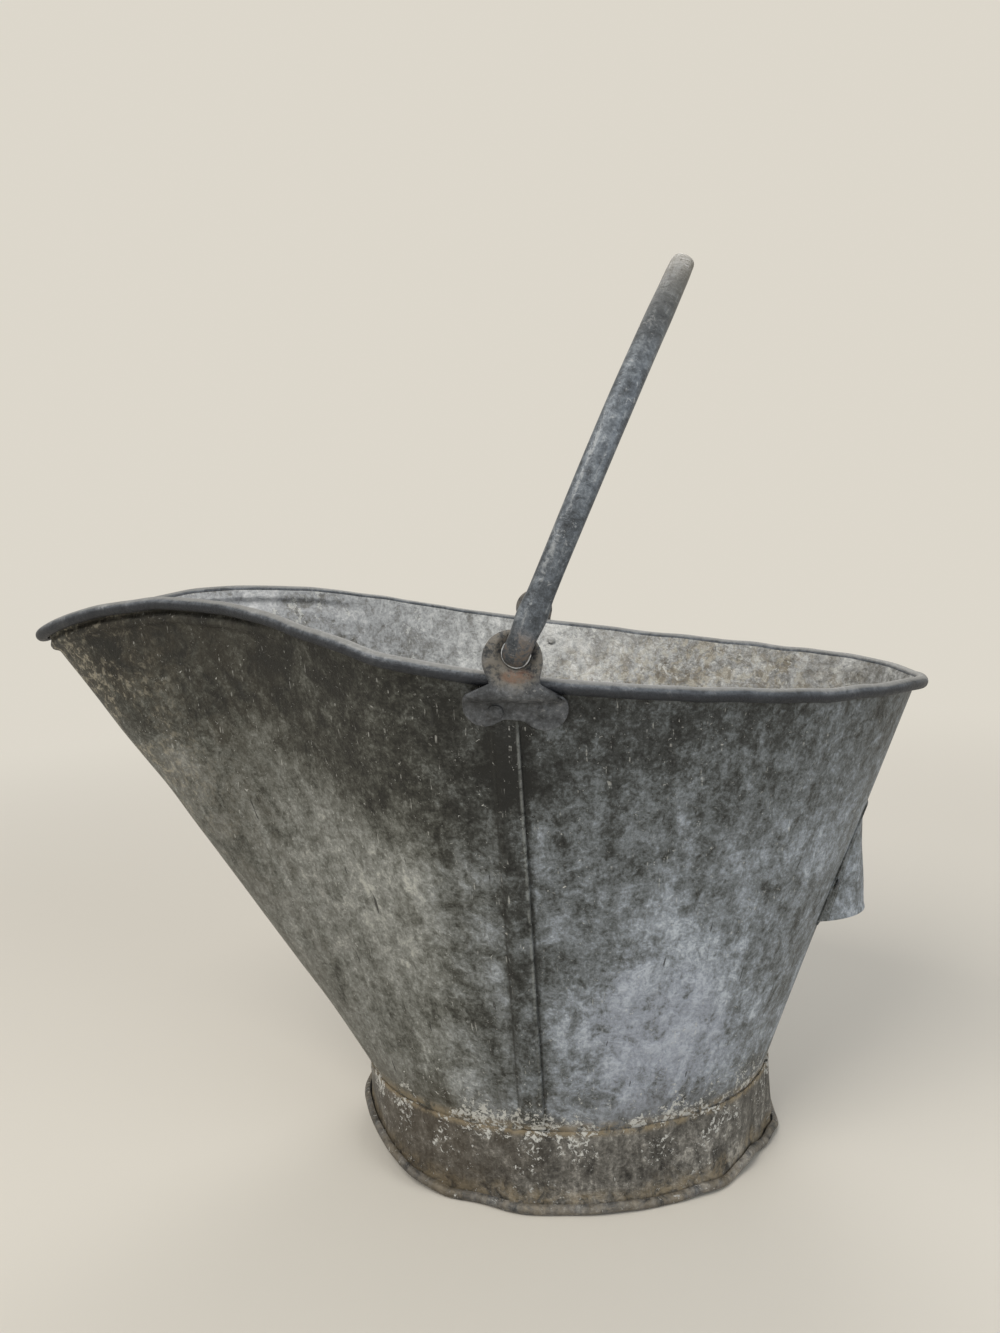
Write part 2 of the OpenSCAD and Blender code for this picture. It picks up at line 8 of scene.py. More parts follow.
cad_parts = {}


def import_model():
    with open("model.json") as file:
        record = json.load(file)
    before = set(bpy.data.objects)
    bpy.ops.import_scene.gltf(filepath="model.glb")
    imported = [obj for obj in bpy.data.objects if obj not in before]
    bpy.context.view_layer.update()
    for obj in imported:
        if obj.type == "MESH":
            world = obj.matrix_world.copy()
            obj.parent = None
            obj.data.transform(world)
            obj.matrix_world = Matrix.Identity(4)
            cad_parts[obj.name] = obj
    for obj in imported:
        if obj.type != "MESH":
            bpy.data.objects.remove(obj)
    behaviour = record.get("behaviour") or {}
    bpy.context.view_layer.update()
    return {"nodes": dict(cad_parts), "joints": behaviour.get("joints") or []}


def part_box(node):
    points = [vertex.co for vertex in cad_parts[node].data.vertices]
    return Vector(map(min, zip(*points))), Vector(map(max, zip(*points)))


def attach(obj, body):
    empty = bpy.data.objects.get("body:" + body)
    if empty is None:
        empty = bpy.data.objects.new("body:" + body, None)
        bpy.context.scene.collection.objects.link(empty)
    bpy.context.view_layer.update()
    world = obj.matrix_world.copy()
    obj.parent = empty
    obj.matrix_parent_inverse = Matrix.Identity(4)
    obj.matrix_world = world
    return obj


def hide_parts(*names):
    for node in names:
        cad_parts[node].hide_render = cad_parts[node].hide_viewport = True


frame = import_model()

# A weathered galvanised coal scuttle. The imported model gives every piece's place and size; here all but the
# rivets is made again with its dents, creases and bent edges, and every surface gets its patina, with some
# shade and highlights painted into it. Lengths are in metres: t is the place round the body in degrees from the
# back, s the share of the height up the wall, from 0 at the foot ring to 1 at the rim.

MM = 0.001
NODES = frame["nodes"]
HINGE = Vector(frame["joints"][0]["pos_m"])
EAR_X = -HINGE.x

# ---- Driving sizes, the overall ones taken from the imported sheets. FAN is how many degrees the rim's places
# lag the waist's at the sides; SIDE_AT and CREST_AT are where the rim is SIDE_H and CREST_H high.
front_low, front_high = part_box("front_sheet")
back_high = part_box("back_sheet")[1]
SPOUT_REACH = -front_low.x
BACK_REACH = back_high.x
RIM_W = 2 * max(front_high.y, back_high.y)
FOOT_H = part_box("foot_ring")[1].z
BACK_H, SIDE_H, CREST_H, TIP_H = 255.5 * MM, 278 * MM, 313 * MM, 293 * MM
SHEET = 0.8 * MM
WAIST_L, WAIST_W = 228 * MM, 184 * MM
FAN = 38
SEAM_AT = 101.8
RIM_WIRE_D, FOOT_WIRE_D = 4.8 * MM, 3 * MM
ROLL_TURN = 295
BEAD_H, BEAD_DOWN, BEAD_HALF, BEAD_REACH = 2.4 * MM, 9 * MM, 3.8 * MM, 54
PLY = SHEET + 0.1 * MM
WIRE_GAP = 0.15 * MM
FIT_GAP = 0.2 * MM
ROLL_R = RIM_WIRE_D / 2 + WIRE_GAP + SHEET / 2
ROLL_OUT = ROLL_R + SHEET / 2
FOOT_BEAD_R = FOOT_WIRE_D / 2 + WIRE_GAP + SHEET / 2
FOOT_BEND, FOOT_FLARE = 15 * MM, 0.6 * MM
SIDE_AT, CREST_AT = 60, 135
SIDE_RISE, BACK_RISE = 0.55 * MM, 0.15 * MM
WIDTH_SHARES = (1, 0.308, 0.034, -0.024)
FLOOR_DROP = 5.6 * MM
ROLL_MARK = 0.06
UP = np.array([0.0, 0.0, 1.0])


# ---- Small helpers, all of which take arrays
def sin(a):
    return np.sin(np.radians(a))


def cos(a):
    return np.cos(np.radians(a))


def mix(a, b, f):
    return a + (b - a) * f


def smooth(f):
    c = np.clip(f, 0, 1)
    return c * c * (3 - 2 * c)


def fold(a):
    m = np.mod(a, 360)
    return np.minimum(m, 360 - m)


def norm(v):
    return np.linalg.norm(v, axis=-1)


def unit(v):
    return v / np.linalg.norm(v, axis=-1, keepdims=True)


def level(v):
    return v * np.array([1.0, 1.0, 0.0])


def dot(a, b):
    return np.sum(a * b, axis=-1, keepdims=True)


def bump(x, middle, half):
    """1 at the middle, falling smoothly to 0 at half each side."""
    return smooth(1 - abs(x - middle) / half)


def wave(points, size, seed):
    """Smooth noise about 0, with features of the given size, at an array of points."""
    flat = points.reshape(-1, 3) / size + seed * 17.3
    return np.array([noise.noise(Vector(p)) for p in flat]).reshape(points.shape[:-1])


# ---- The body's surface
def width_sum(a):
    return sum(share * sin((k + 1) * a) for k, share in enumerate(WIDTH_SHARES))


RIM_L = SPOUT_REACH + BACK_REACH - 2 * ROLL_OUT
PLAN_2, PLAN_3 = 0.051 * RIM_L, 0.06 * RIM_L
PLAN_1 = RIM_L / 2 - PLAN_3
PLAN_0 = (BACK_REACH - SPOUT_REACH) / 2 - PLAN_2
WIDTH_PEAK = width_sum(np.arange(181.0)).max()


def climb(f, a, b, p, q, span):
    return mix(a, b, smooth(f)) + span * f * (1 - f) * (p * (1 - f) - q * f)


def rim_height(a):
    side = climb(a / SIDE_AT, BACK_H, SIDE_H, BACK_RISE, SIDE_RISE, SIDE_AT)
    crest_span = CREST_AT - SIDE_AT
    crest = climb((a - SIDE_AT) / crest_span, SIDE_H, CREST_H, SIDE_RISE, 0, crest_span)
    tip = climb((a - CREST_AT) / (180 - CREST_AT), CREST_H, TIP_H, 0, 0, 180 - CREST_AT)
    return np.where(a < SIDE_AT, side, np.where(a < CREST_AT, crest, tip))


def rim_plain(t):
    a = t - FAN * sin(t) * abs(sin(t))
    x = PLAN_0 + PLAN_1 * cos(a) + PLAN_2 * cos(2 * a) + PLAN_3 * cos(3 * a)
    y = (RIM_W / 2 - ROLL_OUT) * width_sum(a) / WIDTH_PEAK
    return np.stack([x, y, rim_height(fold(a))], -1)


def rim_sag(t):
    """How far knocks have moved the rim down and in. It is still beside the ears and at the tip."""
    p = rim_plain(t)
    still = smooth((abs(p[..., 0] + EAR_X) - 0.03) / 0.05) * smooth((p[..., 0] + SPOUT_REACH - 0.02) / 0.06)
    down = 1.3 * MM * (wave(p, 0.05, 1) - 0.35) + 0.9 * MM * (wave(p, 0.022, 2) - 0.2)
    inward = 1.4 * MM * (wave(p, 0.08, 3) - 0.4)
    return down * still, inward * still


def rim_at(t):
    down, inward = rim_sag(t)
    return rim_plain(t) + down[..., None] * UP + inward[..., None] * rim_out(t)


def waist_at(t):
    return np.stack([WAIST_L / 2 * cos(t), WAIST_W / 2 * sin(t), FOOT_H + 0 * t], -1)


def rim_out(t):
    return unit(np.cross(rim_plain(t + 0.5) - rim_plain(t - 0.5), rim_plain(t) - waist_at(t)))


def waist_out(t):
    return unit(np.cross(waist_at(t + 0.5) - waist_at(t - 0.5), rim_plain(t) - waist_at(t)))


def wall_length(t):
    return norm(rim_plain(t) - waist_at(t))


def wall_at(t, s):
    top = rim_at(t) - rim_out(t) * ROLL_R
    return mix(waist_at(t), top, s[..., None])


def wall_out(t, s):
    return unit(mix(waist_out(t), rim_out(t), s[..., None]))


def wall_along(t, s):
    """The step, a degree long, along the wall."""
    def plain(u):
        return mix(waist_at(u), rim_plain(u) - rim_out(u) * ROLL_R, s[..., None])
    return plain(t + 0.5) - plain(t - 0.5)


def s_of_z(t, z):
    return (z - FOOT_H) / (rim_plain(t)[..., 2] - rim_out(t)[..., 2] * ROLL_R - FOOT_H)


# Dents pushed into the wall, in mm: (x, y, z, radius, depth)
DENTS = (
    (-165, -85, 205, 55, 1.6),
    (-85, -105, 120, 40, 1.1),
    (75, -100, 165, 50, 1.3),
    (120, -45, 75, 35, 1.2),
    (-150, 80, 160, 60, 2.0),
    (40, 115, 130, 45, 1.5),
    (110, 85, 205, 50, 1.4),
    (-215, 10, 215, 45, 1.4),
)


def dents(p, t, s):
    """How far the wall lies outside its true surface. It is 0 at the foot, the rim, the seams and the grip."""
    seam = abs(fold(t) - SEAM_AT) * 3 * MM
    still = smooth(s / 0.14) * smooth((0.95 - s) / 0.12) * smooth((seam - 0.016) / 0.03)
    still = still * smooth((np.maximum(abs(p[..., 1]) - 0.045, (0.05 - p[..., 0]) * 2) + 0.012) / 0.03)
    push = 1.1 * MM * wave(p, 0.085, 4) + 0.45 * MM * wave(p, 0.03, 5)
    for x, y, z, radius, depth in DENTS:
        away = norm(p / MM - (x, y, z))
        push = push - depth * MM * smooth(1 - away / radius)
    return push * still


def crease(t, s):
    """A long faint ridge that runs down each side of the spout's panel, from the rolling of the sheet."""
    ridge = bump(fold(t) + 9 * (s - 0.4), 124, 2.2) + 0.7 * bump(fold(t) - 4 * (s - 0.6), 137, 1.8)
    return 0.35 * MM * ridge * smooth((s - 0.05) / 0.2) * smooth((0.8 - s) / 0.2)


# ---- Meshes
def add_object(name, data):
    thing = bpy.data.objects.new(name, data)
    bpy.context.scene.collection.objects.link(thing)
    return thing


def add_mesh(name, verts, faces, materials, replaced, places=None, angle=38, body="bucket"):
    mesh = bpy.data.meshes.new(name)
    mesh.from_pydata([tuple(v) for v in verts], [], faces)
    mesh.update()
    if places is not None:
        layer = mesh.attributes.new("place", "FLOAT_VECTOR", "POINT")
        layer.data.foreach_set("vector", np.asarray(places, np.float32).ravel())
    for polygon in mesh.polygons:
        polygon.use_smooth = True
    mesh.set_sharp_from_angle(angle=math.radians(angle))
    for material in materials:
        mesh.materials.append(material)
    piece = add_object(name, mesh)
    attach(piece, body)
    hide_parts(*replaced)
    return piece


def sheet_faces(on, rolled):
    """Faces of a thick sheet over a grid of cells, and which of them are on the inner side below the roll."""
    rows, cols = on.shape
    w = cols + 1
    n = w * (rows + 1)
    padded = np.pad(on, 1)
    faces, inner = [], []
    for r, c in zip(*np.nonzero(on)):
        a = int(r * w + c)
        b, d, e = a + 1, a + w, a + w + 1
        quads = [(a, b, e, d), (a + n, d + n, e + n, b + n)]
        if not padded[r, c + 1]:
            quads.append((a, a + n, b + n, b))
        if not padded[r + 2, c + 1]:
            quads.append((d, e, e + n, d + n))
        if not padded[r + 1, c]:
            quads.append((a, d, d + n, a + n))
        if not padded[r + 1, c + 2]:
            quads.append((b, b + n, e + n, e))
        faces += quads
        inner += [0, int(r < rolled)] + [0] * (len(quads) - 2)
    return faces, inner


def add_sheet(name, mid, face, on, sides, replaced, places, rolled=math.inf):
    """A sheet of even thickness from its middle points and its outer face's directions."""
    verts = np.concatenate([(mid + face * SHEET / 2).reshape(-1, 3), (mid - face * SHEET / 2).reshape(-1, 3)])
    faces, inner = sheet_faces(on, rolled)
    used = np.unique([v for f in faces for v in f])
    renumber = {int(v): i for i, v in enumerate(used)}
    faces = [tuple(renumber[v] for v in f) for f in faces]
    places = np.concatenate([places.reshape(-1, 3)] * 2)[used]
    piece = add_mesh(name, verts[used], faces, sides, replaced, places)
    piece.data.polygons.foreach_set("material_index", inner)
    return piece


def loft(loops, joined):
    """Faces between closed loops of points, one after the other, with ends that are capped or joined."""
    count, n = len(loops), len(loops[0])
    last = count if joined else count - 1
    faces = [
        (i * n + j, (i + 1) % count * n + j, (i + 1) % count * n + (j + 1) % n, i * n + (j + 1) % n)
        for i in range(last) for j in range(n)
    ]
    if not joined:
        faces.append(tuple(range(n)))
        faces.append(tuple(reversed(range((count - 1) * n, count * n))))
    return np.concatenate(loops), faces


# ---- Materials. The attribute "place" holds how far round from the back a point is (0 to 0.5), its s (with
# ROLL_MARK more on the rim's roll) and how far it is from the seam; on the bail, how far from its end and round.
class Shade:
    """A node material. Each short call adds a node and returns its output."""

    def __init__(self, name, roughness, metallic):
        self.material = bpy.data.materials.new(name)
        self.material.use_nodes = True
        self.tree = self.material.node_tree
        self.shader = self.fill(self.tree.nodes["Principled BSDF"], Roughness=roughness, Metallic=metallic)
        self.place = self.add("ShaderNodeTexCoord").outputs["Object"]
        self.either_side = self.colour = None

    def add(self, kind, *values, **settings):
        node = self.tree.nodes.new(kind)
        for key, value in settings.items():
            setattr(node, key, value)
        for i, value in enumerate(values):
            self.put(node.inputs[i], value)
        return node

    def put(self, socket, value):
        if isinstance(value, bpy.types.NodeSocket):
            self.tree.links.new(value, socket)
        elif value is not None:
            socket.default_value = value

    def fill(self, node, **values):
        for name, value in values.items():
            self.put(node.inputs[name], value)
        return node

    def attribute(self, name):
        return self.add("ShaderNodeAttribute", attribute_name=name).outputs["Vector"]

    def part(self, vector, axis):
        return self.add("ShaderNodeSeparateXYZ", vector).outputs[axis]

    def scaled(self, vector, scale, shift=(0, 0, 0)):
        return self.fill(self.add("ShaderNodeMapping", vector), Scale=scale, Location=shift).outputs[0]

    def noise(self, size, seed=0, detail=4, rough=0.55, warp=0, vector=None):
        """Smooth noise from about 0.25 to 0.75, with features of the given size."""
        moved = self.scaled(vector or self.place, (1 / size,) * 3, (seed * 3.7, seed * 1.3, seed * 2.1))
        node = self.add("ShaderNodeTexNoise", moved)
        return self.fill(node, Scale=1, Detail=detail, Roughness=rough, Distortion=warp).outputs["Fac"]

    def ramp(self, value, low, high, to_low=0, to_high=1):
        node = self.add("ShaderNodeMapRange", value, low, high, to_low, to_high, interpolation_type="SMOOTHSTEP")
        return node.outputs[0]

    def math(self, operation, a, b=0.5):
        return self.add("ShaderNodeMath", a, b, operation=operation).outputs[0]

    def times(self, *values):
        out = values[0]
        for value in values[1:]:
            out = self.math("MULTIPLY", out, value)
        return out

    def plus(self, *values):
        out = values[0]
        for value in values[1:]:
            out = self.math("ADD", out, value)
        return out

    def swing(self, value, amount):
        """The value about 0, times the amount."""
        return self.add("ShaderNodeMath", value, amount, -0.5 * amount, operation="MULTIPLY_ADD").outputs[0]

    def blend(self, share, a, b, kind="MIX"):
        node = self.add("ShaderNodeMix", data_type="RGBA", blend_type=kind)
        self.put(node.inputs[0], share)
        self.put(node.inputs[6], a)
        self.put(node.inputs[7], b)
        return node.outputs[2]

    def lay(self, coat, *shares):
        """Lays a coat over the colour, by the product of the shares."""
        self.colour = self.blend(self.times(*shares), self.colour, coat)

    def tones(self, value, stops):
        """The colour at a tone, from stops of a tone and its red, green and blue."""
        node = self.add("ShaderNodeValToRGB", value)
        elements = node.color_ramp.elements
        elements.remove(elements[1])
        elements[0].position, elements[0].color = stops[0][0], paint(*stops[0][1:])
        for at, *colour in stops[1:]:
            elements.new(at).color = paint(*colour)
        return node.outputs[0]

    def near(self, middle, radii):
        """Distance from a place in egg-shaped units, the same on both sides of the body."""
        if self.either_side is None:
            flipped = self.add("ShaderNodeVectorMath", self.place, operation="ABSOLUTE").outputs[0]
            self.either_side = self.add("ShaderNodeCombineXYZ", self.part(self.place, 0), self.part(flipped, 1),
                                        self.part(self.place, 2)).outputs[0]
            self.wander = self.swing(self.noise(0.032, 11, 6, 0.65), 1.5)
        moved = self.scaled(self.either_side, [1 / r for r in radii], [-m / r for m, r in zip(middle, radii)])
        return self.add("ShaderNodeVectorMath", moved, operation="LENGTH").outputs["Value"]

    def spot(self, middle, radii):
        """1 inside an egg-shaped field, fading to 0 at its ragged edge."""
        away = self.near(middle, radii)
        return self.ramp(self.plus(away, self.wander), 1.3, 0.35)

    def mottle(self, weights, streaks=None, streak_weight=0.6):
        """A tone about 0.5, blotched at four sizes and streaked, and its three finest layers."""
        layers = [self.noise(0.085, 1, 3, 0.5, 0.3), self.noise(0.021, 2, 6, 0.62, 0.8),
                  self.noise(0.0062, 3, 5, 0.7, 0.5), self.noise(0.0019, 4, 3, 0.75)]
        tone = 0.5
        for layer, weight in zip(layers, weights):
            tone = self.plus(tone, self.swing(layer, weight))
        if streaks is not None:
            tone = self.plus(tone, self.swing(self.noise(1, 5, 5, 0.65, vector=streaks), streak_weight))
        return tone, layers[1:]

    def spike(self, value, middle, half):
        """1 at the middle, falling to 0 at half each side."""
        return self.ramp(self.math("ABSOLUTE", self.math("SUBTRACT", value, middle)), half, 0.0)

    def flakes(self, size, amount, seed, where):
        """Ragged flakes, thickest where that is 1, and gathered in clusters."""
        fine = self.noise(size, seed, 4, 0.75, 0.6)
        gather = self.ramp(self.noise(size * 7, seed + 3, 3), 0.38, 0.6)
        return self.ramp(self.plus(fine, self.times(where, gather, amount)), 0.655, 0.7)

    def finish(self, roughness, heights):
        """Joins the colour, the roughness and a chain of bumps, each a (height, depth in metres)."""
        normal = None
        for height, depth in heights:
            node = self.add("ShaderNodeBump")
            normal = self.fill(node, Strength=1, Distance=depth, Height=height, Normal=normal).outputs[0]
        self.put(self.shader.inputs["Base Color"], self.colour)
        self.fill(self.shader, Roughness=roughness, Normal=normal)
        return self.material


def paint(red, green, blue):
    return (red, green, blue, 1)


CHARCOAL = paint(0.026, 0.026, 0.024)
LAVENDER = paint(0.32, 0.345, 0.42)
OXIDE = paint(0.58, 0.58, 0.55)
CREAM = paint(0.44, 0.4, 0.31)
DUST = paint(0.25, 0.2, 0.125)
BROWN = paint(0.052, 0.043, 0.028)
RUST = paint(0.24, 0.095, 0.04)
# Colours from dark to pale, each at its tone: (tone, red, green, blue)
OUTSIDE_TONES = (
    (0.08, 0.013, 0.013, 0.012), (0.27, 0.043, 0.044, 0.041), (0.42, 0.105, 0.109, 0.108),
    (0.56, 0.175, 0.182, 0.187), (0.72, 0.285, 0.297, 0.318), (0.92, 0.48, 0.49, 0.51),
)
INSIDE_TONES = (
    (0.08, 0.05, 0.047, 0.04), (0.28, 0.145, 0.142, 0.13), (0.46, 0.25, 0.25, 0.242),
    (0.62, 0.37, 0.375, 0.37), (0.82, 0.56, 0.56, 0.545), (0.95, 0.68, 0.68, 0.66),
)
FOOT_TONES = (
    (0.08, 0.016, 0.015, 0.013), (0.3, 0.044, 0.041, 0.036), (0.48, 0.088, 0.083, 0.073),
    (0.66, 0.158, 0.15, 0.134), (0.9, 0.36, 0.345, 0.31),
)
EAR_TONES = (
    (0.08, 0.013, 0.014, 0.015), (0.34, 0.038, 0.041, 0.045), (0.52, 0.075, 0.08, 0.087),
    (0.7, 0.13, 0.137, 0.147), (0.92, 0.3, 0.3, 0.29),
)
BAIL_TONES = (
    (0.1, 0.024, 0.027, 0.031), (0.34, 0.056, 0.064, 0.074), (0.52, 0.098, 0.112, 0.13),
    (0.7, 0.168, 0.188, 0.21), (0.92, 0.36, 0.37, 0.38),
)
RIM_TONES = (
    (0.1, 0.016, 0.018, 0.022), (0.35, 0.036, 0.042, 0.051), (0.52, 0.068, 0.078, 0.092),
    (0.72, 0.13, 0.142, 0.16), (0.93, 0.36, 0.365, 0.37),
)

# Where the folded seam starts, is highest and ends, from its place towards the back
SEAM_START, SEAM_CREST, SEAM_END = 0.5 * MM, 11.8 * MM, 13.4 * MM
# Fields of tone on the outside, on both sides of the body: their middle and radii in mm, and the change
OUTSIDE_FIELDS = (
    (-225, 75, 275, 110, 90, 45, -0.2),
    (-150, 80, 245, 60, 90, 50, -0.1),
    (-60, 120, 240, 75, 80, 45, -0.19),
    (-105, 110, 242, 50, 70, 35, -0.14),
    (-130, 100, 185, 60, 60, 55, 0.1),
    (-75, 100, 135, 30, 60, 30, 0.07),
    (-60, 90, 95, 40, 50, 30, -0.06),
    (-30, 110, 150, 30, 60, 100, -0.1),
    (60, 120, 225, 90, 90, 45, -0.08),
    (20, 110, 185, 35, 60, 30, -0.05),
    # This row darkens the wall just under the ear's lobes: partly painted shadow of the ear, partly grime
    (-12, 155, 238, 30, 40, 13, -0.14),
    (20, 100, 105, 45, 50, 35, 0.06),
    (55, 95, 140, 25, 50, 25, 0.1),
    # This row pales the lower back under the lavender bloom: partly bloom, partly a painted reflection
    (45, 90, 92, 40, 50, 45, 0.13),
    (120, 70, 205, 45, 80, 60, 0.08),
    (165, 0, 150, 40, 50, 50, 0.08),
)


def zinc_outside(name):
    """The outside of the body: charcoal under the rim, partly painted shade, paler lower down, pale crust near the
    foot.
    """
    m = Shade(name, 0.55, 0.4)
    place = m.attribute("place")
    climb_up = m.part(place, 1)
    streaks = m.scaled(place, (120, 3.4, 1))
    tone, (blotch, grain, fleck) = m.mottle((0.35, 0.95, 0.92, 0.72), streaks, 0.5)
    rim_tone = tone
    # Darker towards the rim and paler towards the foot: tone, with painted shade on the outward-leaning top, which
    # faces down, and painted light from below
    tone = m.plus(tone, m.ramp(m.plus(climb_up, m.swing(blotch, 0.4)), 0.62, 1.0, 0.06, -0.14))
    for *sizes, change in OUTSIDE_FIELDS:
        middle, radii = np.reshape(sizes, (2, 3)) * MM
        tone = m.plus(tone, m.times(m.spot(middle, radii), change))
    seam = m.part(place, 2)
    # Darker still just under the rim ahead of the seam, where the wall leans out most: more painted shade
    ahead = m.times(m.ramp(seam, 0.0, -0.02), m.ramp(climb_up, 0.8, 0.95))
    tone = m.plus(tone, m.times(ahead, -0.13))
    # The seam's band is painted darker as the shade of its fold; its two edges get painted shadow lines and its
    # crest a painted highlight line
    folded = m.times(m.ramp(climb_up, 0.94, 0.88), m.ramp(seam, -0.006, 0.003), m.ramp(seam, 0.017, 0.012))
    tone = m.plus(tone, m.times(folded, -0.15))
    m.colour = m.tones(tone, OUTSIDE_TONES)
    seam_edge_shadow = m.times(folded, m.plus(m.spike(seam, SEAM_END, 0.0009), m.spike(seam, SEAM_START, 0.0012)))
    m.lay(CHARCOAL, seam_edge_shadow, 0.8)
    crest = m.times(folded, m.spike(seam, SEAM_CREST, 0.0009), m.ramp(grain, 0.38, 0.56))
    m.lay(paint(0.33, 0.33, 0.31), crest, m.ramp(climb_up, 0.0, 0.5, 0.15, 0.42))
    # Yellowed ahead of the seam, bluish behind it; low at the back a pale bluish patch, partly bloom and partly a
    # painted reflection; pale flakes down the front edge
    behind = m.ramp(m.plus(seam, m.swing(blotch, 0.05)), -0.05, 0.03)
    m.colour = m.blend(1, m.colour, m.blend(behind, paint(0.98, 0.97, 0.86), paint(0.98, 1.035, 1.08)), "MULTIPLY")
    bloom = m.times(m.spot((0.045, 0.09, 0.092), (0.042, 0.05, 0.05)), m.ramp(tone, 0.4, 0.68), 0.42)
    m.lay(LAVENDER, bloom)
    front = m.ramp(m.part(place, 0), 0.3, 0.46)
    m.lay(BROWN, front, m.ramp(blotch, 0.35, 0.6), 0.42)
    edge = m.times(m.ramp(m.part(place, 0), 0.4, 0.47), m.ramp(climb_up, 0.35, 0.8))
    scuff = m.ramp(m.noise(0.0042, 8, 5, 0.75, 0.6), 0.5, 0.6)
    m.lay(CREAM, edge, scuff, m.ramp(blotch, 0.4, 0.56), 0.62)
    # Grime, tan dust and white crust low down
    low = m.ramp(m.plus(climb_up, m.swing(blotch, 0.16)), 0.12, 0.02)
    m.lay(BROWN, low, 0.4)
    dust_line = m.times(m.ramp(climb_up, 0.03, 0.006), m.ramp(grain, 0.38, 0.56))
    m.lay(DUST, dust_line, 0.7)
    crust = m.flakes(0.0026, 0.19, 5, m.ramp(climb_up, 0.13, 0.015))
    m.lay(OXIDE, crust, 0.85)
    m.lay(OXIDE, m.flakes(0.0032, 0.0, 9, 0.5), 0.35)
    # Short dark nicks and fine pale scratches
    nicks = m.noise(1, 6, 2, 0.5, vector=m.scaled(place, (300, 13, 1)))
    m.lay(CHARCOAL, m.ramp(nicks, 0.735, 0.77), 0.85)
    scratches = m.noise(1, 7, 2, 0.5, vector=m.scaled(place, (90, 90, 1), (0.3, 0, 0)), warp=0.2)
    fine = m.noise(1, 8, 2, 0.5, vector=m.scaled(m.place, (700, 300, 60)))
    m.lay(OXIDE, m.ramp(fine, 0.66, 0.72), m.ramp(scratches, 0.5, 0.6), 0.4)
    # The rolled rim is slate. Where it faces up it is painted paler, partly wear and partly painted highlight; where
    # it faces down it is painted dark as shade.
    rim = m.ramp(climb_up, 1.005, 1.03)
    m.lay(m.tones(m.plus(rim_tone, m.swing(m.noise(0.03, 14, 4, 0.6), 0.5)), RIM_TONES), rim)
    facing_up = m.part(m.add("ShaderNodeNewGeometry").outputs["Normal"], 2)
    paler_patches = m.times(rim, m.ramp(m.plus(facing_up, m.swing(blotch, 0.4)), 0.45, 0.85), 0.7)
    m.lay(paint(0.29, 0.29, 0.28), paler_patches)
    shaded_underside = m.times(rim, m.ramp(facing_up, 0.6, -0.1), 0.85)
    m.lay(paint(0.016, 0.018, 0.023), shaded_underside)
    rough = m.ramp(tone, 0.2, 0.85, 0.5, 0.66)
    return m.finish(rough, ((blotch, 0.0014), (grain, 0.0009), (m.plus(fleck, m.times(crust, 0.8)), 0.0003)))


def zinc_inside(name):
    """The inside of the body: paler, with white and cream bloom and brown stains, and darker towards the bottom."""
    m = Shade(name, 0.6, 0.25)
    place = m.attribute("place")
    climb_up = m.part(place, 1)
    streaks = m.scaled(place, (85, 5, 1), (4, 2, 0))
    tone, (blotch, grain, fleck) = m.mottle((0.5, 0.9, 1.0, 0.75), streaks, 0.7)
    spout = m.ramp(m.part(m.place, 0), -0.05, -0.2)
    tone = m.plus(tone, m.times(spout, 0.07), 0.04)
    tone = m.plus(tone, m.times(m.spot((-0.02, 0.14, 0.26), (0.06, 0.06, 0.04)), 0.1))
    tone = m.plus(tone, m.ramp(m.plus(climb_up, m.swing(blotch, 0.3)), 0.2, 0.8, -0.26, 0.02))
    m.colour = m.tones(tone, INSIDE_TONES)
    m.lay(LAVENDER, spout, m.ramp(tone, 0.35, 0.6), 0.2)
    back = m.spot((0.1, 0.11, 0.235), (0.12, 0.09, 0.05))
    stain = m.times(back, m.ramp(m.noise(0.006, 6, 5, 0.72, 0.8), 0.47, 0.58))
    m.lay(CREAM, stain, 0.5)
    brown = m.times(back, m.ramp(m.noise(0.009, 7, 6, 0.74, 1.0), 0.49, 0.6))
    m.lay(paint(0.13, 0.105, 0.07), brown, 0.6)
    drips = m.flakes(0.0048, 0.1, 2, m.ramp(climb_up, 0.55, 1.0))
    m.lay(OXIDE, drips, 0.7)
    low = m.ramp(m.plus(climb_up, m.swing(blotch, 0.1)), 0.1, 0.0)
    m.lay(paint(0.055, 0.045, 0.032), low, 0.6)
    rough = m.ramp(tone, 0.2, 0.85, 0.55, 0.7)
    return m.finish(rough, ((blotch, 0.0014), (grain, 0.0009), (fleck, 0.0003)))


def zinc_foot(name):
    """The foot ring: dark and dusty, with pale crust, a tan line along its top and a worn bead."""
    m = Shade(name, 0.6, 0.3)
    place = m.attribute("place")
    up = m.part(place, 1)
    streaks = m.scaled(place, (150, 2.4, 1), (1, 5, 0))
    tone, (blotch, grain, fleck) = m.mottle((0.5, 0.85, 1.0, 0.9), streaks, 1.0)
    m.colour = m.tones(m.plus(tone, 0.02), FOOT_TONES)
    dusty = m.ramp(m.plus(up, m.swing(blotch, 0.6)), 0.34, 0.02)
    m.lay(DUST, dusty, m.ramp(grain, 0.35, 0.6), 0.75)
    stained = m.spot((-0.075, 0.07, 0.03), (0.055, 0.06, 0.05))
    m.lay(paint(0.06, 0.045, 0.028), stained, 0.5)
    top = m.times(m.ramp(up, 0.9, 0.99), m.ramp(grain, 0.36, 0.56))
    m.lay(DUST, top, 0.8)
    bead = m.ramp(up, 0.02, -0.02)
    m.lay(m.tones(m.plus(tone, 0.03), EAR_TONES), bead)
    m.lay(DUST, bead, m.ramp(m.noise(0.02, 15, 4), 0.5, 0.62), 0.45)
    crust = m.flakes(0.0028, 0.17, 4, m.ramp(up, 0.25, 1.0, 0.25, 1))
    m.lay(OXIDE, crust, 0.85)
    rough = m.ramp(tone, 0.2, 0.85, 0.55, 0.75)
    return m.finish(rough, ((blotch, 0.0016), (grain, 0.001), (m.plus(fleck, m.times(crust, 0.8)), 0.0003)))


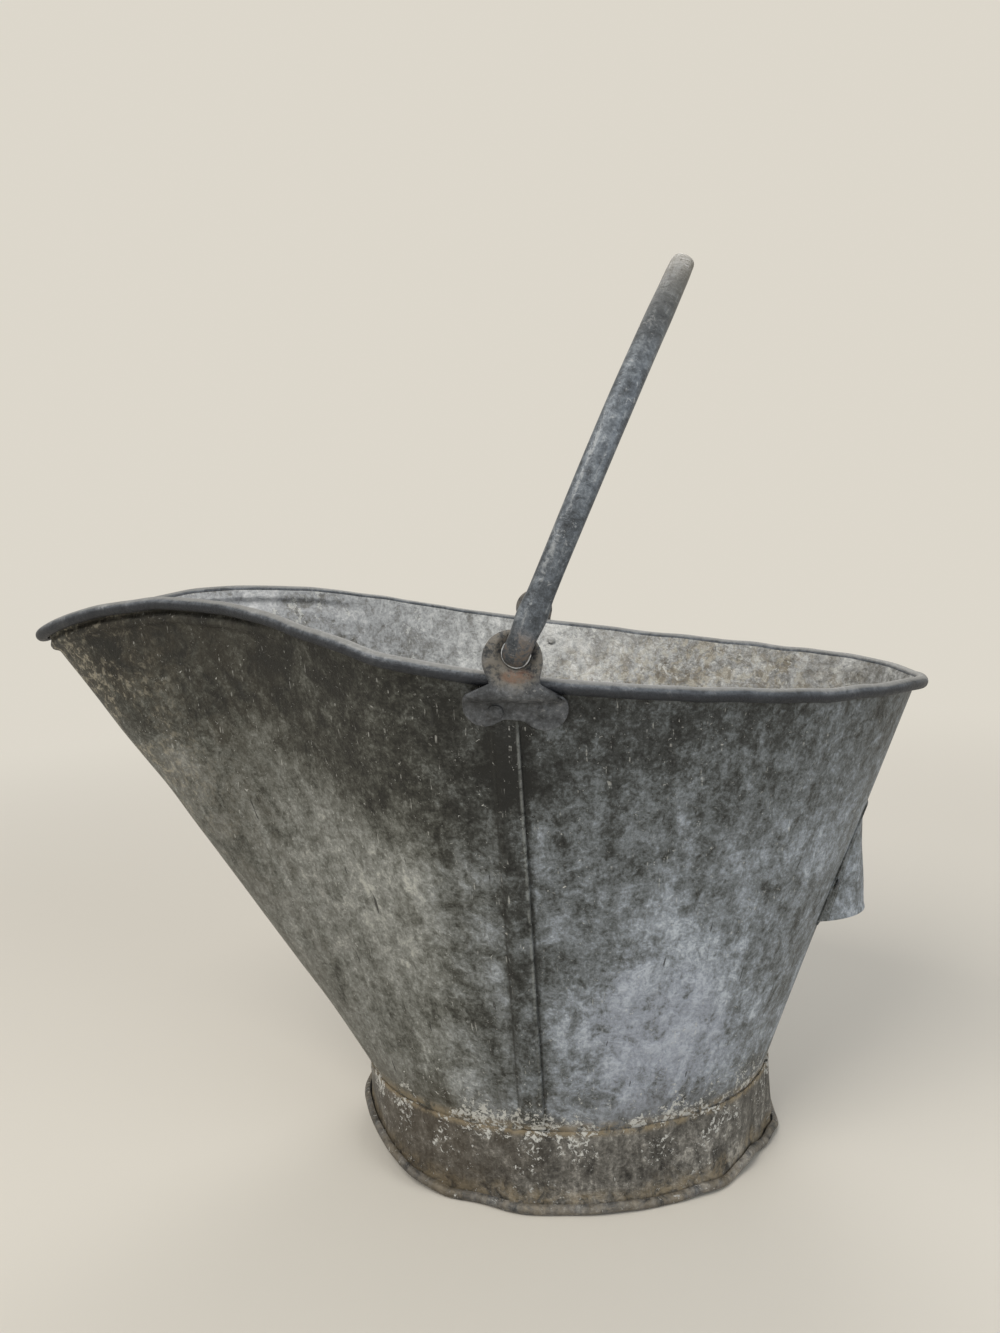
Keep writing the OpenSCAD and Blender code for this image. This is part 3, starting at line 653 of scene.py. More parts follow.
def plain_metal(name, stops, roughness=0.5, metallic=0.45):
    """The patina of the small pieces, ready for more: the material, its tone, its roughness and its bumps."""
    m = Shade(name, roughness, metallic)
    tone, (blotch, grain, fleck) = m.mottle((0.2, 0.8, 1.0, 0.8))
    m.colour = m.tones(tone, stops)
    paler_patches = m.flakes(0.0035, 0.07, 6, 0.8)
    m.lay(paint(*stops[-1][1:]), paler_patches, 0.45)
    rough = m.ramp(tone, 0.2, 0.85, roughness - 0.06, roughness + 0.12)
    return m, tone, rough, ((blotch, 0.0007), (grain, 0.0006), (fleck, 0.00025))


EAR_SIDE = 158 * MM


def zinc_ear(name):
    """The ears: dark slate lobes, a loop worn to brown, and rust low round the hole."""
    m, tone, rough, heights = plain_metal(name, EAR_TONES, 0.55, 0.25)
    hole = m.near((HINGE.x, EAR_SIDE, HINGE.z), (0.016, 0.03, 0.016))
    worn = m.ramp(m.plus(hole, m.swing(m.noise(0.006, 12, 4, 0.7), 0.7)), 1.15, 0.75)
    m.lay(paint(0.175, 0.155, 0.125), worn, m.ramp(tone, 0.3, 0.55), 0.65)
    under = m.near((HINGE.x, EAR_SIDE, HINGE.z - 0.0095), (0.0095, 0.03, 0.0045))
    patchy = m.ramp(m.noise(0.0035, 13, 4, 0.7), 0.4, 0.58)
    m.lay(RUST, m.ramp(under, 0.9, 0.4), patchy, 0.4)
    return m.finish(rough, heights)


def bail_steel(name):
    """The bail: mottled blue-grey, olive dust towards its top and ends worn brown in the ears."""
    m, tone, rough, heights = plain_metal(name, BAIL_TONES, 0.46, 0.5)
    place = m.attribute("place")
    from_end = m.part(place, 0)
    high = m.times(m.ramp(from_end, 0.13, 0.25), m.ramp(tone, 0.2, 0.5))
    m.lay(paint(0.072, 0.063, 0.042), high, 0.9)
    runs = m.noise(1, 16, 4, 0.65, vector=m.scaled(place, (28, 9, 1)))
    runs = m.times(m.ramp(runs, 0.53, 0.62), m.ramp(from_end, 0.27, 0.2))
    m.lay(paint(0.27, 0.28, 0.285), runs, m.ramp(tone, 0.4, 0.6), 0.5)
    worn = m.times(m.ramp(from_end, 0.026, 0.016), m.ramp(tone, 0.35, 0.6))
    m.lay(paint(0.16, 0.115, 0.08), worn, 0.75)
    return m.finish(rough, heights)


# ---- Body sheets
ROLL_STEPS = 22


def down_to_s(t, down):
    return 1 - down / wall_length(t)


# Rows: (kind, value, part of the seam or not). "z" is a height, "up" an s, "down" a distance under the rim
# and "roll" a turn round the rim's wire.
WALL_ROWS = (
    [("z", FOOT_H + z * MM, z > 1) for z in (-6, 0.5, 1.2, 3, 6)]
    + [("up", share, True) for share in np.linspace(0.05, 0.84, 46)]
    + [("down", down * MM, down >= 17) for down in (32, 29, 26, 23, 20, 17, 16.6, 14.5, 13, 12, 11.2, 10.5, 9.8,
                                                    9, 8.2, 7.5, 6.8, 6, 5.2, 4.5, 3.5, 2.5, 1.2, 0)]
    + [("roll", ROLL_TURN * (i + 1) / ROLL_STEPS, False) for i in range(ROLL_STEPS)]
)


def halfway(t):
    """A place round the body that is spaced evenly between its foot and its rim."""
    return t - FAN / 2 * sin(t) * abs(sin(t))


def even_turns(start, end, steps):
    table = np.arange(-200.0, 400.0, 0.05)
    wanted = np.linspace(halfway(start), halfway(end), steps + 1)
    return np.interp(wanted, halfway(table), table)


# The two halves of the folded seam, across it: (distance, plies up, turn of the face). The front sheet steps
# over the back one and folds under it.
FRONT_FOLD = ([(-8.0, 0, 0), (-4.0, 0, 0), (-1.5, 0.05, -8), (0.0, 0.35, -28), (1.0, 1.2, -42), (2.0, 2.3, -36),
               (2.9, 2.9, -14), (4.0, 3, 0), (6.0, 3, 0), (8.5, 3, 0), (10.5, 3, 0)]
              + [(11.5 + 0.9 * sin(a), 2 + cos(a), a) for a in range(0, 181, 20)]
              + [(8.0, 1, 180), (4.4, 1, 180)])
BACK_FOLD = ([(11.6, 2, 180), (7.5, 2, 180)]
             + [(3.6 - 0.9 * sin(a), 1 - cos(a), a) for a in range(180, -1, -20)]
             + [(6.0, 0, 0), (9.0, 0, 0), (12.0, 0, 0), (15.0, 0, 0)])
BUTT = 6.5 * MM
BUTT_GAP = 0.15 * MM


def body_sheet(name, wall, fold_shape, hooks, replaced, sides):
    """One half of the body. hooks gives, for the first and the last columns, the seam's place and its side."""
    order = -1 if name == "front" else 1
    starts, ends = ([(*hook, *shape) for shape in fold_shape] for hook in hooks)
    columns = starts[::order] + [(t, 0, 0, 0, 0) for t in wall] + ends[::-order]
    t0, side, across, plies, turn = np.array(columns, float).T
    butt = BUTT if name == "front" else BUTT + BUTT_GAP
    widened = (turn == 0) & ((across < -3) | (across >= 9)) & (plies == 0)
    rows = []
    for kind, value, seamed in WALL_ROWS:
        s = {"z": s_of_z(t0, value), "up": value + 0 * t0, "down": down_to_s(t0, value), "roll": 1 + 0 * t0}[kind]
        step = norm(wall_along(t0, s))
        reach = across * MM * np.where(widened, 1 + 1.15 * np.clip(s, 0, 1), 1)
        flush = np.maximum(reach, butt) if name == "back" else np.minimum(reach, butt)
        u = reach if seamed else flush
        t = t0 + side * u / step
        out = wall_out(t, s)
        along = unit(wall_along(t, s))
        seam_far = (SEAM_AT - fold(t)) * step
        if kind == "roll":
            turned = value * (1 + 0.02 * wave(rim_plain(t), 0.04, 6))
            up = unit(np.cross(rim_out(t), wall_along(t, s)))
            inward = rim_out(t) * cos(turned)[:, None] - up * sin(turned)[:, None]
            mid, face = rim_at(t) - inward * ROLL_R, inward
        else:
            p = wall_at(t, s)
            under = (1 - s) * wall_length(t)
            bead = BEAD_H * smooth(1.2 - abs(under - BEAD_DOWN) / BEAD_HALF)
            bead = bead * smooth((BEAD_REACH - fold(180 - t)) / 12)
            pressed = mix(0.12, 1, smooth((under - 0.019) / 0.011)) * mix(0.3, 1, smooth((s - 0.01) / 0.02))
            lift = plies * PLY * pressed if seamed else 0 * t
            off = dents(p, t, s) + crease(t, s) + bead + lift
            mid = p + out * off[:, None]
            swing = turn if seamed else 0 * turn
            face = out * cos(swing)[:, None] + along * (side * sin(swing))[:, None]
        rows.append((mid, face, np.stack([fold(t) / 360, s + (ROLL_MARK if kind == "roll" else 0), seam_far], -1)))
    mid, face, places = map(np.array, zip(*rows))
    seamed = np.array([row[2] for row in WALL_ROWS])
    apart = norm(np.diff(mid[0], axis=0)) > 1e-7
    on_column = apart & (turn[:-1] < 90) & (turn[1:] < 90)
    on = on_column[None, :] | (seamed[:-1] & seamed[1:])[:, None]
    return add_sheet(name + "_panel", mid, face, on, sides, replaced, places,
                     len(WALL_ROWS) - ROLL_STEPS - 1)


FRONT_WALL = even_turns(SEAM_AT + 5, 360 - SEAM_AT - 5, 150)
BACK_WALL = even_turns(9 - SEAM_AT, SEAM_AT - 9, 132)


# ---- Wires and the floor
def add_wire(name, middles, outs, radius, replaced, material):
    along = np.roll(middles, -1, 0) - np.roll(middles, 1, 0)
    up = unit(np.cross(outs, along))
    around = np.arange(12) * 30
    rings = [m + radius * (cos(around)[:, None] * o + sin(around)[:, None] * u)
             for m, o, u in zip(middles, outs, up)]
    verts, faces = loft(rings, True)
    return add_mesh(name, verts, faces, [material], [replaced], angle=80)


def beside(t, z, off):
    """A point off the wall's middle at height z, moved level so that it keeps that height."""
    s = s_of_z(t, z)
    n = wall_out(t, s)
    out = unit(level(n))
    return wall_at(t, s) + out * (off / dot(n, out))


def base_plate(material):
    """The floor: a plate with its edge turned up inside the body, a little sunk and dented in the middle."""
    t = np.arange(0, 360, 3.0)
    inset = -(SHEET / 2 + FIT_GAP)
    floor_z = FOOT_H - FLOOR_DROP
    shares = (0.04, 0.15, 0.3, 0.45, 0.6, 0.75, 0.88, 0.97)
    edge = ((0.6, 0.5), (2.2, 0.0), (5.0, 0.0), (7.8, 0.0), (8.6, 0.12),
            (8.6, 0.68), (7.8, 0.8), (5.0, 0.8), (2.6, 0.85), (1.3, 1.5))
    loops = [(share, floor_z, inset - 1.5 * MM) for share in shares]
    loops += [(1, floor_z + z * MM, inset - extra * MM) for z, extra in edge]
    loops += [(share, floor_z + SHEET, inset - 1.9 * MM) for share in shares[::-1]]
    rings = []
    for share, z, off in loops:
        ring = beside(t, z, off) * np.array([share, share, 1])
        sunk = 0.7 * MM * wave(level(ring), 0.05, 8) * smooth((1 - share) / 0.2)
        ring[:, 2] += np.clip(sunk, -0.35 * MM, 0.35 * MM)
        rings.append(ring)
    verts, faces = loft(rings, False)
    places = np.stack([fold(np.tile(t, len(rings))) / 360, 0 * verts[:, 0], 0.05 + 0 * verts[:, 0]], -1)
    return add_mesh("floor_plate", verts, [f[::-1] for f in faces], [material], ["base_plate"], places)


# ---- Foot ring
LAP_AT, LAP_L = -14, 14 * MM


def foot_out(t):
    return unit(level(waist_out(t)))


def foot_knock(t):
    """How far knocks have pushed the foot's lower edge out and up. It never goes below the floor."""
    p = waist_at(t)
    out = 2.4 * MM * wave(p, 0.045, 9) + 1.0 * MM * wave(p, 0.018, 12)
    for at, half, deep in ((222, 16, 1.2), (246, 12, -2.0), (292, 16, -1.6), (312, 9, 1.8), (331, 9, -2.2),
                           (348, 8, 1.2), (60, 14, -1.8), (120, 12, 1.0)):
        out = out + deep * MM * bump(fold(t - at), 0, half)
    up = 1.3 * MM * np.clip(wave(p, 0.03, 10) + 0.15, 0, 1)
    for at, half, high in ((306, 10, 1.2), (326, 12, 3.2), (344, 9, 1.8), (75, 14, 1.6)):
        up = up + high * MM * bump(fold(t - at), 0, half)
    return out, up


def foot_mid(t, f):
    out = foot_out(t)
    off = (SHEET / 2 + FIT_GAP) / dot(waist_out(t), out) + SHEET / 2
    lift = FOOT_BEND * np.clip((-cos(t) - 0.52) / 0.48, 0, 1) ** 1.2
    push, rise = foot_knock(t)
    low = FOOT_BEAD_R + SHEET / 2 + lift + rise
    ragged = 0.9 * MM * np.clip(wave(waist_at(t), 0.014, 11) + 0.1, 0, 1)
    z = mix(low, FOOT_H - ragged, f)
    face_dents = 0.7 * MM * wave(waist_at(t) + f[..., None] * UP * FOOT_H, 0.022, 13) * smooth(f / 0.2)
    bulge = FOOT_FLARE * (1 - f) + push * smooth(1.1 * (1 - f)) + 0.5 * MM * smooth((0.12 - f) / 0.12)
    bulge = bulge + face_dents * smooth((0.93 - f) / 0.2)
    return level(waist_at(t)) + out * (off + bulge[..., None]) + z[..., None] * UP


def foot_ring(metal):
    t = LAP_AT + np.arange(0, 180) * 358 / 179
    lap = LAP_AT + 360 + LAP_L / norm(waist_at(LAP_AT) * (math.pi / 180)) * np.linspace(0, 1, 6)
    turns = np.concatenate([t, lap])
    lapped = np.concatenate([0 * t, 0 * lap + PLY])
    # Rows: (share of the height, turn round the bead, share of the lap's step)
    rows = [(0, 22 * i, 0) for i in range(13, -1, -1)]
    rows += [(f, 0, smooth((f - 0.11) / 0.05)) for f in
             (0.04, 0.08, 0.115, 0.14, 0.17, 0.23, 0.31, 0.4, 0.5, 0.6, 0.7, 0.8, 0.9, 0.97, 1)]
    sheet = []
    out = foot_out(turns)
    for share, roll, over in rows:
        f = share + 0 * turns
        face = out * cos(roll) + UP * sin(roll)
        mid = foot_mid(turns, f) + (out - face) * FOOT_BEAD_R + out * (lapped * over)[:, None]
        sheet.append((mid, face, np.stack([fold(turns) / 360, f, 0 * f], -1)))
    mids, faces, places = map(np.array, zip(*sheet))
    on = np.ones((len(rows) - 1, len(turns) - 1), bool)
    lap_row = next(i for i, row in enumerate(rows) if row[2] > 0.9)
    on[:lap_row, len(t):] = False
    return add_sheet("foot_skirt", mids, faces, on, [metal, metal], ["foot_ring"], places)


# ---- Bail: a flattened tube rolled from sheet, its ends turned in through the ears
BAIL_LEAN = 25
BAIL_H, BAIL_W, BAIL_T = 206.5 * MM, 11.4 * MM, 9 * MM
HOOK_D, HOOK_WALL, HOOK_REACH = 12 * MM, 1.4 * MM, 8 * MM
EAR_T, BAIL_GAP, ELBOW_R, BAIL_LEG = 1.6 * MM, 1.2 * MM, 7 * MM, 60 * MM
# The power that squares its section, the turn at which its seam is, how far forwards each side bows, and the
# mouth of its ends: a lip and a bore
BAIL_SQUARE, BAIL_SEAM = 0.86, 250
BAIL_BOW = (-1.0 * MM, 3.0 * MM)
BORE_LIP, BORE_DEPTH = 0.3 * MM, 6 * MM


def bail_line(ear_face):
    """The near half of the bail's middle line: [across, up, heading], from its end inside the ear to its top."""
    half = ear_face + BAIL_GAP + BAIL_T / 2
    top = BAIL_H - BAIL_T / 2
    end = ear_face - EAR_T - HOOK_REACH
    line = [(y, 0, 0) for y in np.linspace(end, half - ELBOW_R, 8)]
    line += [(half - ELBOW_R + ELBOW_R * sin(a), ELBOW_R * (1 - cos(a)), a) for a in range(9, 91, 9)]
    line += [(half, z, 90) for z in np.linspace(ELBOW_R, BAIL_LEG, 18)[1:]]
    rise = top - BAIL_LEG
    line += [(half * cos(a), BAIL_LEG + rise * sin(a), math.degrees(math.atan2(rise * cos(a), -half * sin(a))))
             for a in range(2, 91, 2)]
    return np.array(line)


def bail(material):
    near = bail_line(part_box("far_ear")[1].y)
    far = near[-2::-1] * np.array([-1, 1, 1])
    far[:, 2] = 360 - far[:, 2]
    line = np.concatenate([near, far])
    length = np.concatenate([[0], np.cumsum(norm(np.diff(line[:, :2], axis=0)))])
    around = np.arange(0, 360, 10.0)
    rings, places = [], []
    for (across, up, heading), far_along in zip(line, length):
        from_end = min(far_along, length[-1] - far_along)
        grow = smooth((from_end - 0.02) / 0.022)
        collar = bump(from_end, 0.03, 0.01)
        width = mix(HOOK_D / 2 - 0.2 * MM, BAIL_W / 2, grow) + 0.7 * MM * collar
        thick = mix(HOOK_D / 2 - 0.2 * MM, BAIL_T / 2, smooth((from_end - 0.006) / 0.012))
        spot = np.array([[0.0, across, up]])
        width = width * (1 + 0.035 * wave(spot, 0.035, 21)[0])
        thick = thick * (1 + 0.06 * wave(spot, 0.028, 22)[0])
        c, d = cos(around), sin(around)
        seam_line = 1 - 0.16 * bump(fold(around - BAIL_SEAM), 0, 11)
        x = width * np.sign(c) * abs(c) ** BAIL_SQUARE * seam_line
        y = thick * np.sign(d) * abs(d) ** BAIL_SQUARE * seam_line
        out = np.array([0, sin(heading), -cos(heading)])
        ring = spot + x[:, None] * np.array([1, 0, 0]) + y[:, None] * out
        bow = bump(up, 0.105, 0.11) * mix(*BAIL_BOW, smooth((across + 0.1) / 0.2))
        ring[:, 0] += bow + 0.5 * MM * wave(spot, 0.09, 23)[0] * smooth((from_end - 0.03) / 0.03)
        rings.append(ring)
        places.append(np.stack([np.full(len(around), from_end), around / 360, 0 * around], -1))

    def bore(ring, deep):
        middle = ring.mean(0)
        shrunk = middle + (ring - middle) * (1 - HOOK_WALL * 0.8 / (HOOK_D / 2))
        shrunk[:, 1] += deep * np.sign(middle[1])
        return shrunk
    start = [bore(rings[0], BORE_DEPTH), bore(rings[0], BORE_LIP)]
    finish = [bore(rings[-1], BORE_LIP), bore(rings[-1], BORE_DEPTH)]
    verts, faces = loft(start + rings + finish, False)
    places = np.concatenate([places[0]] * 2 + places + [places[-1]] * 2)
    turned = np.array(Matrix.Rotation(math.radians(BAIL_LEAN), 3, "Y"))
    verts = verts @ turned.T + np.array(HINGE)
    return add_mesh("bail_tube", verts, faces, [material], ["bail"], places, 50, "bail")


# ---- Rear grip: a pressed pocket, open below, with a flat flange against the wall
GRIP_Z, GRIP_H, GRIP_W, GRIP_D, GRIP_FLANGE = 127 * MM, 56 * MM, 66 * MM, 23 * MM, 7 * MM
GRIP_GAP = 0.15 * MM
# How far from the seam the patina takes the pocket and its flange to be: the flange gets the seam band's darkening,
# painted shade with some grime in the crevice round the grip
POCKET_PLACE, FLANGE_PLACE = 50 * MM, 7 * MM


def grip(metal):
    edge = np.array([0, 0.15, 0.3, 0.42, 0.54, 0.65, 0.74, 0.81, 0.87, 0.915, 0.95, 0.975, 0.99, 1.0, 1.02, 1.07,
                     1.13, 1.2])
    a = np.concatenate([-edge[:0:-1], edge])
    v = np.concatenate([np.linspace(0, 0.8, 25), np.linspace(0.82, 1, 11), [1.03, 1.07, 1 + GRIP_FLANGE / GRIP_H]])
    a, v = np.meshgrid(a, v)
    half = GRIP_W / 2 * (1 - 0.3 * v * v)
    inside_pocket = (abs(a) < 1) & (v < 1)
    rounded = np.clip(1 - abs(a) ** 2.6, 0, 1) ** 0.62
    depth = np.where(inside_pocket, GRIP_D * np.clip(1 - v, 0, 1) * rounded, 0)
    z = GRIP_Z + v * GRIP_H
    s = s_of_z(0 * a, z)
    y = np.clip(abs(a), 0, 1) * half + np.maximum(0, abs(a) - 1) * 5 * GRIP_FLANGE
    t = np.sign(a) * y / norm(wall_along(0 * a, s))
    lip = 0.5 * MM * smooth((0.05 - v) / 0.05) * (depth > 0)
    knock = 0.6 * MM * wave(np.stack([0 * y, y * np.sign(a), z], -1), 0.02, 31) * smooth(depth / (6 * MM))
    mid = beside(t, z, SHEET + GRIP_GAP) + (depth + lip + knock)[..., None] * np.array([1, 0, 0])
    across = np.gradient(mid, axis=1)
    upward = np.gradient(mid, axis=0)
    face = unit(np.cross(across, upward))
    flange = smooth((np.maximum(abs(a), v) - 0.9) / 0.1)
    places = np.stack([0 * a + 0.02, s, mix(POCKET_PLACE, FLANGE_PLACE, flange)], -1)
    on = np.ones((mid.shape[0] - 1, mid.shape[1] - 1), bool)
    return add_sheet("grip_pocket", mid, face, on, [metal, metal], ["rear_grip"], places)


# ---- Ears: a bent plate with two lobes on the wall, a neck over the rolled rim and a worn loop above it
RIVET_DROP, EAR_GAP, LOBES_W, LOOP_W, EAR_HOLE_R = 25.4 * MM, 0.4 * MM, 46 * MM, 27 * MM, 6.3 * MM
# The outline about the hole's middle, in mm: (x, z, x, z, radius) of round-ended bars that run together
EAR_BARS = (
    (-1.8, -2.6, -1.8, -2.6, 12.6),
    (-15.0, -23.2, -15.0, -23.2, 9.4),
    (11.2, -25.0, 11.2, -25.0, 9.9),
    (-12.0, -21.4, 9.0, -22.4, 7.0),
    (-0.9, -5.0, -0.9, -19.0, 10.2),
)
EAR_SOFTNESS = 1.1
# The middles of the two pressed lobes, across, and how far under the hole they are
LOBES_AT, LOBE_DROP = (-13 * MM, 11 * MM), 24.5 * MM


def spread(z):
    """How far the ear's rows are drawn apart sideways at a height, in mm, so that each ray leaves it once."""
    return 1 + 1.1 * smooth((-z - 9) / 12)


def t_of(x, z):
    """Where the wall stands x along at height z, on the far side."""
    t = np.linspace(50, 150, 2001)
    return np.interp(-x, -wall_at(t, s_of_z(t, z))[:, 0], t)


def ear_spot(x, z):
    return beside(t_of(x, z), z, SHEET / 2 + EAR_GAP)


def ear_profile():
    """The upright axis that the ear's plate bends round, and its middle's distance from there at each height."""
    table = np.linspace(50, 150, 4001)

    def rim_by(x):
        return rim_plain(np.interp(-x, -rim_plain(table)[:, 0], table))
    low = HINGE.z - RIVET_DROP
    a, b, c = (ear_spot(x - EAR_X, low)[:2] for x in (2 * MM - LOBES_W / 2, 0, LOBES_W / 2 - 2 * MM))
    u, v = b - a, c - a
    k = 2 * (u[0] * v[1] - u[1] * v[0])
    axis = a + np.array([v[1] * (u @ u) - u[1] * (v @ v), u[0] * (v @ v) - v[0] * (u @ u)]) / k

    def rho(point):
        return norm(point[:2] - axis)
    rim = rim_by(-EAR_X)
    bend_z = rim_by(LOBES_W / 2 - EAR_X)[2]
    inner = rho(rim_by(-LOOP_W / 2 - EAR_X)) + ROLL_OUT + EAR_GAP
    jog = bend_z - ROLL_OUT - 1 * MM
    r = ROLL_OUT + EAR_GAP
    line = [(z, rho(ear_spot(-EAR_X, z)) + EAR_T / 2) for z in np.linspace(rim[2] - 0.03, jog, 8)]
    line += [(bend_z + (r + EAR_T / 2) * sin(q), inner - r + (r + EAR_T / 2) * cos(q)) for q in range(-55, 1, 5)]
    line += [(rim[2] + 0.05, inner + EAR_T / 2)]
    z, off = np.array(line, float).T
    fine = np.arange(z[0], z[-1], 0.1 * MM)
    soft = np.convolve(np.pad(np.interp(fine, z, off), 12, "edge"), np.ones(25) / 25, "valid")
    return axis, fine, np.maximum(soft, np.interp(fine, z, off) - 0.15 * MM)


def ear_reach(turn):
    """How far the outline is from the hole's middle in each direction."""
    r = np.arange(8, 48, 0.05)
    z = r * sin(turn)[:, None]
    x = r * cos(turn)[:, None] * spread(z)
    total = 0
    for ax, az, bx, bz, radius in EAR_BARS:
        long = max((bx - ax) ** 2 + (bz - az) ** 2, 1e-9)
        f = np.clip(((x - ax) * (bx - ax) + (z - az) * (bz - az)) / long, 0, 1)
        away = np.hypot(x - mix(ax, bx, f), z - mix(az, bz, f)) - radius
        total = total + np.exp(-away / EAR_SOFTNESS)
    outside = -EAR_SOFTNESS * np.log(total) > 0
    return r[np.argmax(outside, axis=1)] * MM


def ear(name, side, material):
    axis, heights, rhos = ear_profile()
    turn = np.arange(0, 360, 2.0)
    reach = ear_reach(turn)
    hole = EAR_HOLE_R * (1 + 0.02 * bump(fold(turn - 285), 0, 50) + 0.006 * sin(3 * turn))
    edge = np.array([0, 0.08, 0.2, 0.4, 0.7]) * MM
    half = EAR_T / 2
    stations = [(0, d) for d in edge] + [(f, 0) for f in np.linspace(0.08, 0.92, 15)] + [(1, -d) for d in edge[::-1]]
    loops = []
    for front in (1, -1):
        for share, d in stations[::front]:
            inner, outer = hole + edge[-1] * 1.2, reach - edge[-1] * 1.2
            r = hole + d if share == 0 else reach + d if share == 1 else mix(inner, outer, share)
            z = r * sin(turn)
            x = r * cos(turn) * spread(z / MM)
            near_edge = np.minimum(r - hole, reach - r)
            round_off = half - (half - 0.1 * MM) * (1 - np.sqrt(np.clip(1 - (1 - near_edge / edge[-1]) ** 2, 0, 1)))
            round_off = np.where(near_edge < edge[-1], round_off, half)
            collar = 0.8 * MM * bump(r - hole, 2.8 * MM, 3.2 * MM) * (front > 0)
            lobes = sum(0.5 * MM * smooth(1 - np.hypot(x - c, z + LOBE_DROP) / (10 * MM)) for c in LOBES_AT)
            lobes = lobes + 0.55 * MM * smooth((x + 6 * MM) / (2.5 * MM)) * smooth(-(z + 13 * MM) / (4 * MM))
            wave_off = 0.35 * MM * wave(np.stack([x + side, 0 * x, z], -1), 0.014, 41)
            away = front * round_off + collar + lobes * (z < -12 * MM) + wave_off * smooth((r - hole) / (3 * MM))
            height = HINGE.z + z
            below, rho, above = (np.interp(height + dz * MM, heights, rhos) for dz in (-0.3, 0, 0.3))
            slope = (above - below) / (0.6 * MM)
            across = (x - EAR_X - axis[0]) / rho
            ahead = np.sqrt(1 - across ** 2)
            place = np.stack([axis[0] + rho * across, axis[1] + rho * ahead, height], -1)
            out = unit(np.stack([across, ahead, -slope], -1))
            loops.append((place + out * away[:, None]) * np.array([1, side, 1]))
    verts, faces = loft(loops, True)
    faces = [f[::side] for f in faces]
    return add_mesh(name, verts, faces, [material], [name.replace("_plate", "")], angle=60)


def dress(node, material):
    """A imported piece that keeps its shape, with its finish, smooth faces and worn edges."""
    piece = NODES[node]
    piece.data.materials.clear()
    piece.data.materials.append(material)
    for polygon in piece.data.polygons:
        polygon.use_smooth = True
    worn = piece.modifiers.new("worn_edges", "BEVEL")
    worn.width = 0.25 * MM
    worn.segments = 2
    worn.limit_method = "ANGLE"
    worn.angle_limit = math.radians(40)
    worn.harden_normals = True


# ---- Assembly
outside = zinc_outside("zinc_outside")
inside = zinc_inside("zinc_inside")
foot_metal = zinc_foot("zinc_foot")
ear_metal = zinc_ear("zinc_ear")
# The ears' rivets have their inner heads nearer the middle plane than this
INNER_HEADS = 0.1408


def small_metal(name, inner=0.0):
    """The plain patina, paler on what is inside the body, nearer its middle plane than inner."""
    m, tone, rough, heights = plain_metal(name, EAR_TONES)
    if inner:
        across = m.math("ABSOLUTE", m.part(m.place, 1))
        m.lay(m.tones(tone, INSIDE_TONES), m.ramp(across, inner + 0.0005, inner))
    return m.finish(rough, heights)


rivet_metal = small_metal("rivet_metal", INNER_HEADS)
wire_metal = small_metal("wire_metal")
bail_metal = bail_steel("bail_metal")

body_sheet("front", FRONT_WALL, FRONT_FOLD, ((SEAM_AT, -1), (360 - SEAM_AT, 1)), ["front_sheet"], [outside, inside])
body_sheet("back", BACK_WALL, BACK_FOLD, ((-SEAM_AT, 1), (SEAM_AT, -1)), ["back_sheet"], [outside, inside])
rim_turns = even_turns(0, 359, 260)
add_wire("rim_core", rim_at(rim_turns), rim_out(rim_turns), RIM_WIRE_D / 2, "rim_wire", wire_metal)
foot_turns = np.arange(0, 360, 2.5)
foot_core = foot_mid(foot_turns, 0 * foot_turns) + foot_out(foot_turns) * FOOT_BEAD_R
add_wire("foot_core", foot_core, foot_out(foot_turns), FOOT_WIRE_D / 2, "foot_wire", wire_metal)
base_plate(inside)
foot_ring(foot_metal)
bail(bail_metal)
grip(outside)
ear("near_ear_plate", -1, ear_metal)
ear("far_ear_plate", 1, ear_metal)
for node in NODES:
    if node.endswith("_rivet"):
        dress(node, wire_metal if node.startswith("grip") else rivet_metal)


# ---- Studio
BACKDROP = (0.72, 0.68, 0.6, 1)
FLOOR_REACH = 8
CAMERA_AT = (0.0078, -0.574, 0.3405)
CAMERA_YAW, CAMERA_PITCH, CAMERA_ROLL = 3.88, -7.24, 2.1
LENS, SENSOR = 36.9, 36


def seen_directly(tree):
    """1 for what the camera sees itself, in a gloss or through glass."""
    path = tree.nodes.new("ShaderNodeLightPath")
    out = path.outputs["Is Camera Ray"]
    for ray in ("Is Glossy Ray", "Is Transmission Ray"):
        node = tree.nodes.new("ShaderNodeMath")
        node.operation = "MAXIMUM"
        tree.links.new(out, node.inputs[0])
        tree.links.new(path.outputs[ray], node.inputs[1])
        out = node.outputs[0]
    return out


